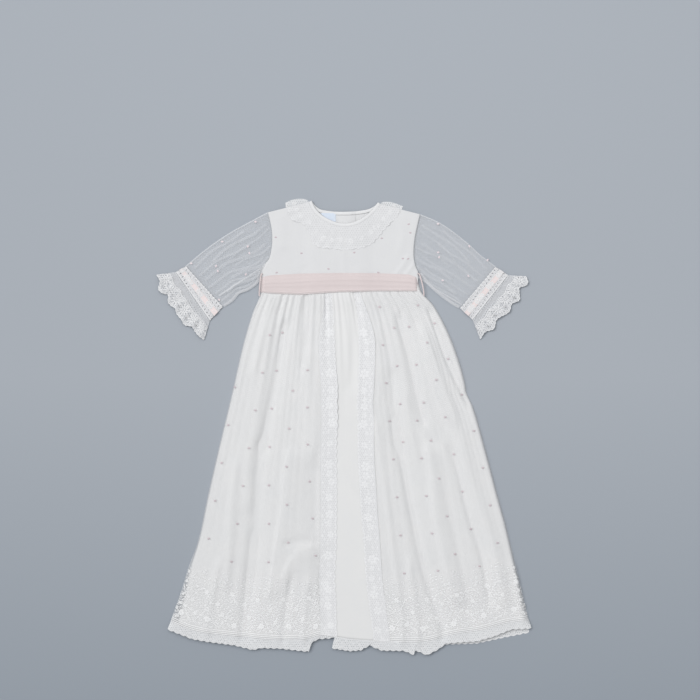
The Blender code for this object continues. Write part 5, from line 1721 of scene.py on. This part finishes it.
def frill_design():
    """Wheels of long pads, with a ring of eyelets round each one and leaves between them."""
    design = Stitches()
    pitch = FRILL_LENGTH / FRILL_SCALLOPS
    for number in range(FRILL_SCALLOPS):
        x = (number + 0.5) * pitch
        design.pad(x, 11.0, 3.0, 3.0, 0.0, 0.7)
        for turn in range(0, 360, 36):
            angle = math.radians(turn + 12.0 * number)
            design.pad(x + 5.2 * math.cos(angle), 11.0 + 5.2 * math.sin(angle), 7.0, 2.3,
                       turn + 12.0 * number, 0.6)
        for turn in range(0, 360, 45):
            angle = math.radians(turn)
            design.ring(x + 9.4 * math.cos(angle), 9.6 + 8.0 * math.sin(angle), 1.2, 0.9, 0.5, 7)
        for at in (-0.5, 0.5):
            design.leaf(x + at * pitch, 4.0, 7.0, 90.0, 0.5)
            design.leaf(x + at * pitch * 0.8, 14.0, 6.0, 90.0 + 60.0 * at, 0.5)
        design.flower(x + pitch / 2, 18.0, 2.8, 5, 31.0 * number, 0.5)
    for y, wide in ((0.6, 1.5), (2.6, 0.9), (19.5, 1.0)):
        long_cord(design, FRILL_LENGTH, y, wide, 0.5)
    return design


def make_frill(side, marks):
    name = "cuff_frill_" + side
    plan = scalloped(beside(smooth(marks["band"]), -marks["out"] * GAP), smooth(marks["frill"]),
                     FRILL_SCALLOPS * 4, FRILL_SCALLOP_DEPTH)

    def extra(u, v):
        return FRILL_SWELL * v * swell(FRILL_WAVES * u)

    cloth = flat_tube(plan, FRILL_COLUMNS, FRILL_ROWS, FLAT, CUFF_RISE, extra)
    frill = wear(cloth.object(name + "_ground", OPEN_LACE, SEAM_NET), "white_lace", name)
    rows, columns = grid_faces(2 * FRILL_COLUMNS, FRILL_ROWS - 1)
    gathered_net = (rows > 0) & (rows < 3.4 + 1.4 * np.sin(columns / 19.0))
    frill.data.polygons.foreach_set("material_index", gathered_net.astype(int))
    return cloth, frill, embroider(frill_design(), name + "_flowers", EMBROIDERY, cloth, plan,
                                   FRILL_LENGTH, FRILL_DEPTH)


arms = {}
for side, marks in SLEEVES.items():
    arms[side] = (make_sleeve(side, marks), make_cuff(side, marks), make_frill(side, marks))
    print(side, "sleeve:", round(arms[side][0][0].area(), 4), "square metres")

# %% [markdown]
# ## What each cloth was cut to
#
# A pattern cutter would ask for these numbers: the size of each flat piece before it was
# gathered, folded or laid out. A tube counts all round.

# %% Cuts
def cut(piece, width, length, area, held, *rests_on, pieces=()):
    """One cut's width and length in metres, and the area that the cutter keeps; none of them is
    used.
    """
    list(pieces)


cut(back_net_piece, 0.60, 0.58, 0.262, "gathered")
cut(back_lining_piece, 0.57, 0.58, 0.250, "laid", back_net_piece)
cut(lining_piece, 0.60, 0.59, 0.275, "gathered", back_lining_piece)
for side, (plan, cloth, piece) in enumerate(NETS):
    cut(piece, 0.32, 0.59, 0.136, "gathered", lining_piece,
        pieces=[skirt_dots[side], borders[side]])
    cut(lace_bands[side][1], 0.59, 0.028, 0.0155, "laid", piece, pieces=[lace_bands[side][2]])
back_lace, centre_lace, left_lace, right_lace = (entry[1:] for entry in hem_laces)
cut(back_lace[0], 0.60, 0.036, 0.0105, "hung", back_net_piece, pieces=back_lace[1:])
cut(centre_lace[0], 0.112, 0.024, 0.0018, "hung", lining_piece, pieces=centre_lace[1:])
cut(left_lace[0], 0.285, 0.025, 0.0042, "hung", NETS[0][2], pieces=left_lace[1:])
cut(right_lace[0], 0.270, 0.025, 0.0042, "hung", NETS[1][2], pieces=right_lace[1:])
cut(backs[0][1], 0.152, 0.130, 0.0164, "laid")
cut(backs[1][1], 0.140, 0.127, 0.0132, "laid")
cut(bodice_piece, 0.262, 0.132, 0.0270, "laid", backs[0][1], backs[1][1], pieces=[bodice_dots])
for (_, strip, stitches), width in zip(bindings, (0.150, 0.086, 0.064)):
    cut(strip, width, 0.0105, round(width * 0.006, 6), "folded", pieces=[stitches])
cut(label_piece, 0.025, 0.022, None, "laid", backs[0][1], pieces=[label_stitches])
cut(collar_piece, 0.350, 0.044, 0.0088, "gathered", bodice_piece, pieces=[collar_flowers])
for cloth, piece, sewn in back_collars:
    cut(piece, 0.130, 0.050, 0.0038 if piece is back_collars[0][1] else 0.0028, "gathered",
        pieces=[sewn])
cut(sash_piece, 0.260, 0.034, 0.0080, "folded", bodice_piece, NETS[0][2])
cut(sash_back_piece, 0.260, 0.034, 0.0078, "laid")
for sleeve, cuff, frill in arms.values():
    cut(sleeve[1], 0.300, 0.162, 0.0240, "gathered", pieces=sleeve[2:])
    cut(cuff[1], 0.190, 0.029, 0.0047, "laid", sleeve[1], pieces=cuff[2:3])
    cut(cuff[4], 0.100, 0.0101, 0.0007, "laid", cuff[1], pieces=cuff[5:])
    cut(frill[1], 0.300, 0.038, 0.0090, "gathered", cuff[1], pieces=frill[2:])
print("lining, cut to 0.60 by 0.59 m, measures", round(lining.area(), 3), "square metres laid")

# %% [markdown]
# ## Table, light and camera
#
# The gown lies on a pale blue-grey table and is seen from straight above. One wide lamp, a
# window on the left and a bright sky give soft, almost shadowless light; white cloth only
# needs a little direction in it for its folds to show.

# %% Table
def make_floor():
    """A plain matt table, with painted shade that makes it darker towards the hem."""
    half, level = 3.0, -1e-4
    corners = ((-half, -half), (half, -half), (half, half), (-half, half))
    mesh = bpy.data.meshes.new("floor")
    mesh.from_pydata([(*corner, level) for corner in corners], [], [(0, 1, 2, 3)])
    floor = bpy.data.objects.new("floor", mesh)
    bpy.context.scene.collection.objects.link(floor)
    material = bpy.data.materials.new("table with painted shade")
    material.use_nodes = True
    tree = material.node_tree
    shader = tree.nodes["Principled BSDF"]
    shader.inputs["Roughness"].default_value = 0.9
    shader.inputs["Specular IOR Level"].default_value = 0.1
    _, y = flat_place(tree)
    # Painted shade: the table's colour runs darker towards the hem, where the light falls off.
    painted_light_towards_neck = math_node(tree, "MULTIPLY_ADD", y, 1.9, 0.85, clamp=True)
    colour = mixed(tree, painted_light_towards_neck, (0.322, 0.357, 0.401), (0.408, 0.438, 0.479))
    tree.links.new(colour, shader.inputs["Base Color"])
    mesh.materials.append(material)


make_floor()


# %% Lights and camera
def aim(item, place, target):
    """Put an item at a place and turn its -Z axis to the target."""
    item.location = place
    item.rotation_euler = (Vector(target) - Vector(place)).to_track_quat("-Z", "Y").to_euler()
    bpy.context.scene.collection.objects.link(item)
    return item


def lamp(name, size, watts, place, target):
    data = bpy.data.lights.new(name, "AREA")
    data.shape = "SQUARE"
    data.size = size
    data.energy = watts
    return aim(bpy.data.objects.new(name, data), place, target)


lamp("overhead softbox", 2.0, 22.0, (0.0, 1.2, 2.3), (0.0, 0.0, 0.0))
window = bpy.data.lights.new("window on the left", "SUN")
window.energy = 1.18
window.angle = math.radians(30.0)
aim(bpy.data.objects.new("window on the left", window), (-1.6, 0.9, 2.4), (0.0, 0.0, 0.0))
sky = bpy.data.worlds.new("bright sky")
sky.use_nodes = True
sky.node_tree.nodes["Background"].inputs["Color"].default_value = (0.96, 0.98, 1.0, 1.0)
sky.node_tree.nodes["Background"].inputs["Strength"].default_value = 0.44
bpy.context.scene.world = sky
bpy.context.scene.view_settings.view_transform = "Standard"

lens, sensor, field = 85.0, 36.0, 1.12
camera = bpy.data.objects.new("camera", bpy.data.cameras.new("camera"))
camera.data.lens = lens
camera.data.sensor_width = sensor
camera.location = (0.0094, 0.1223, field * lens / sensor)
bpy.context.scene.collection.objects.link(camera)
bpy.context.scene.camera = camera
print("camera height:", round(camera.location.z, 3), "m")
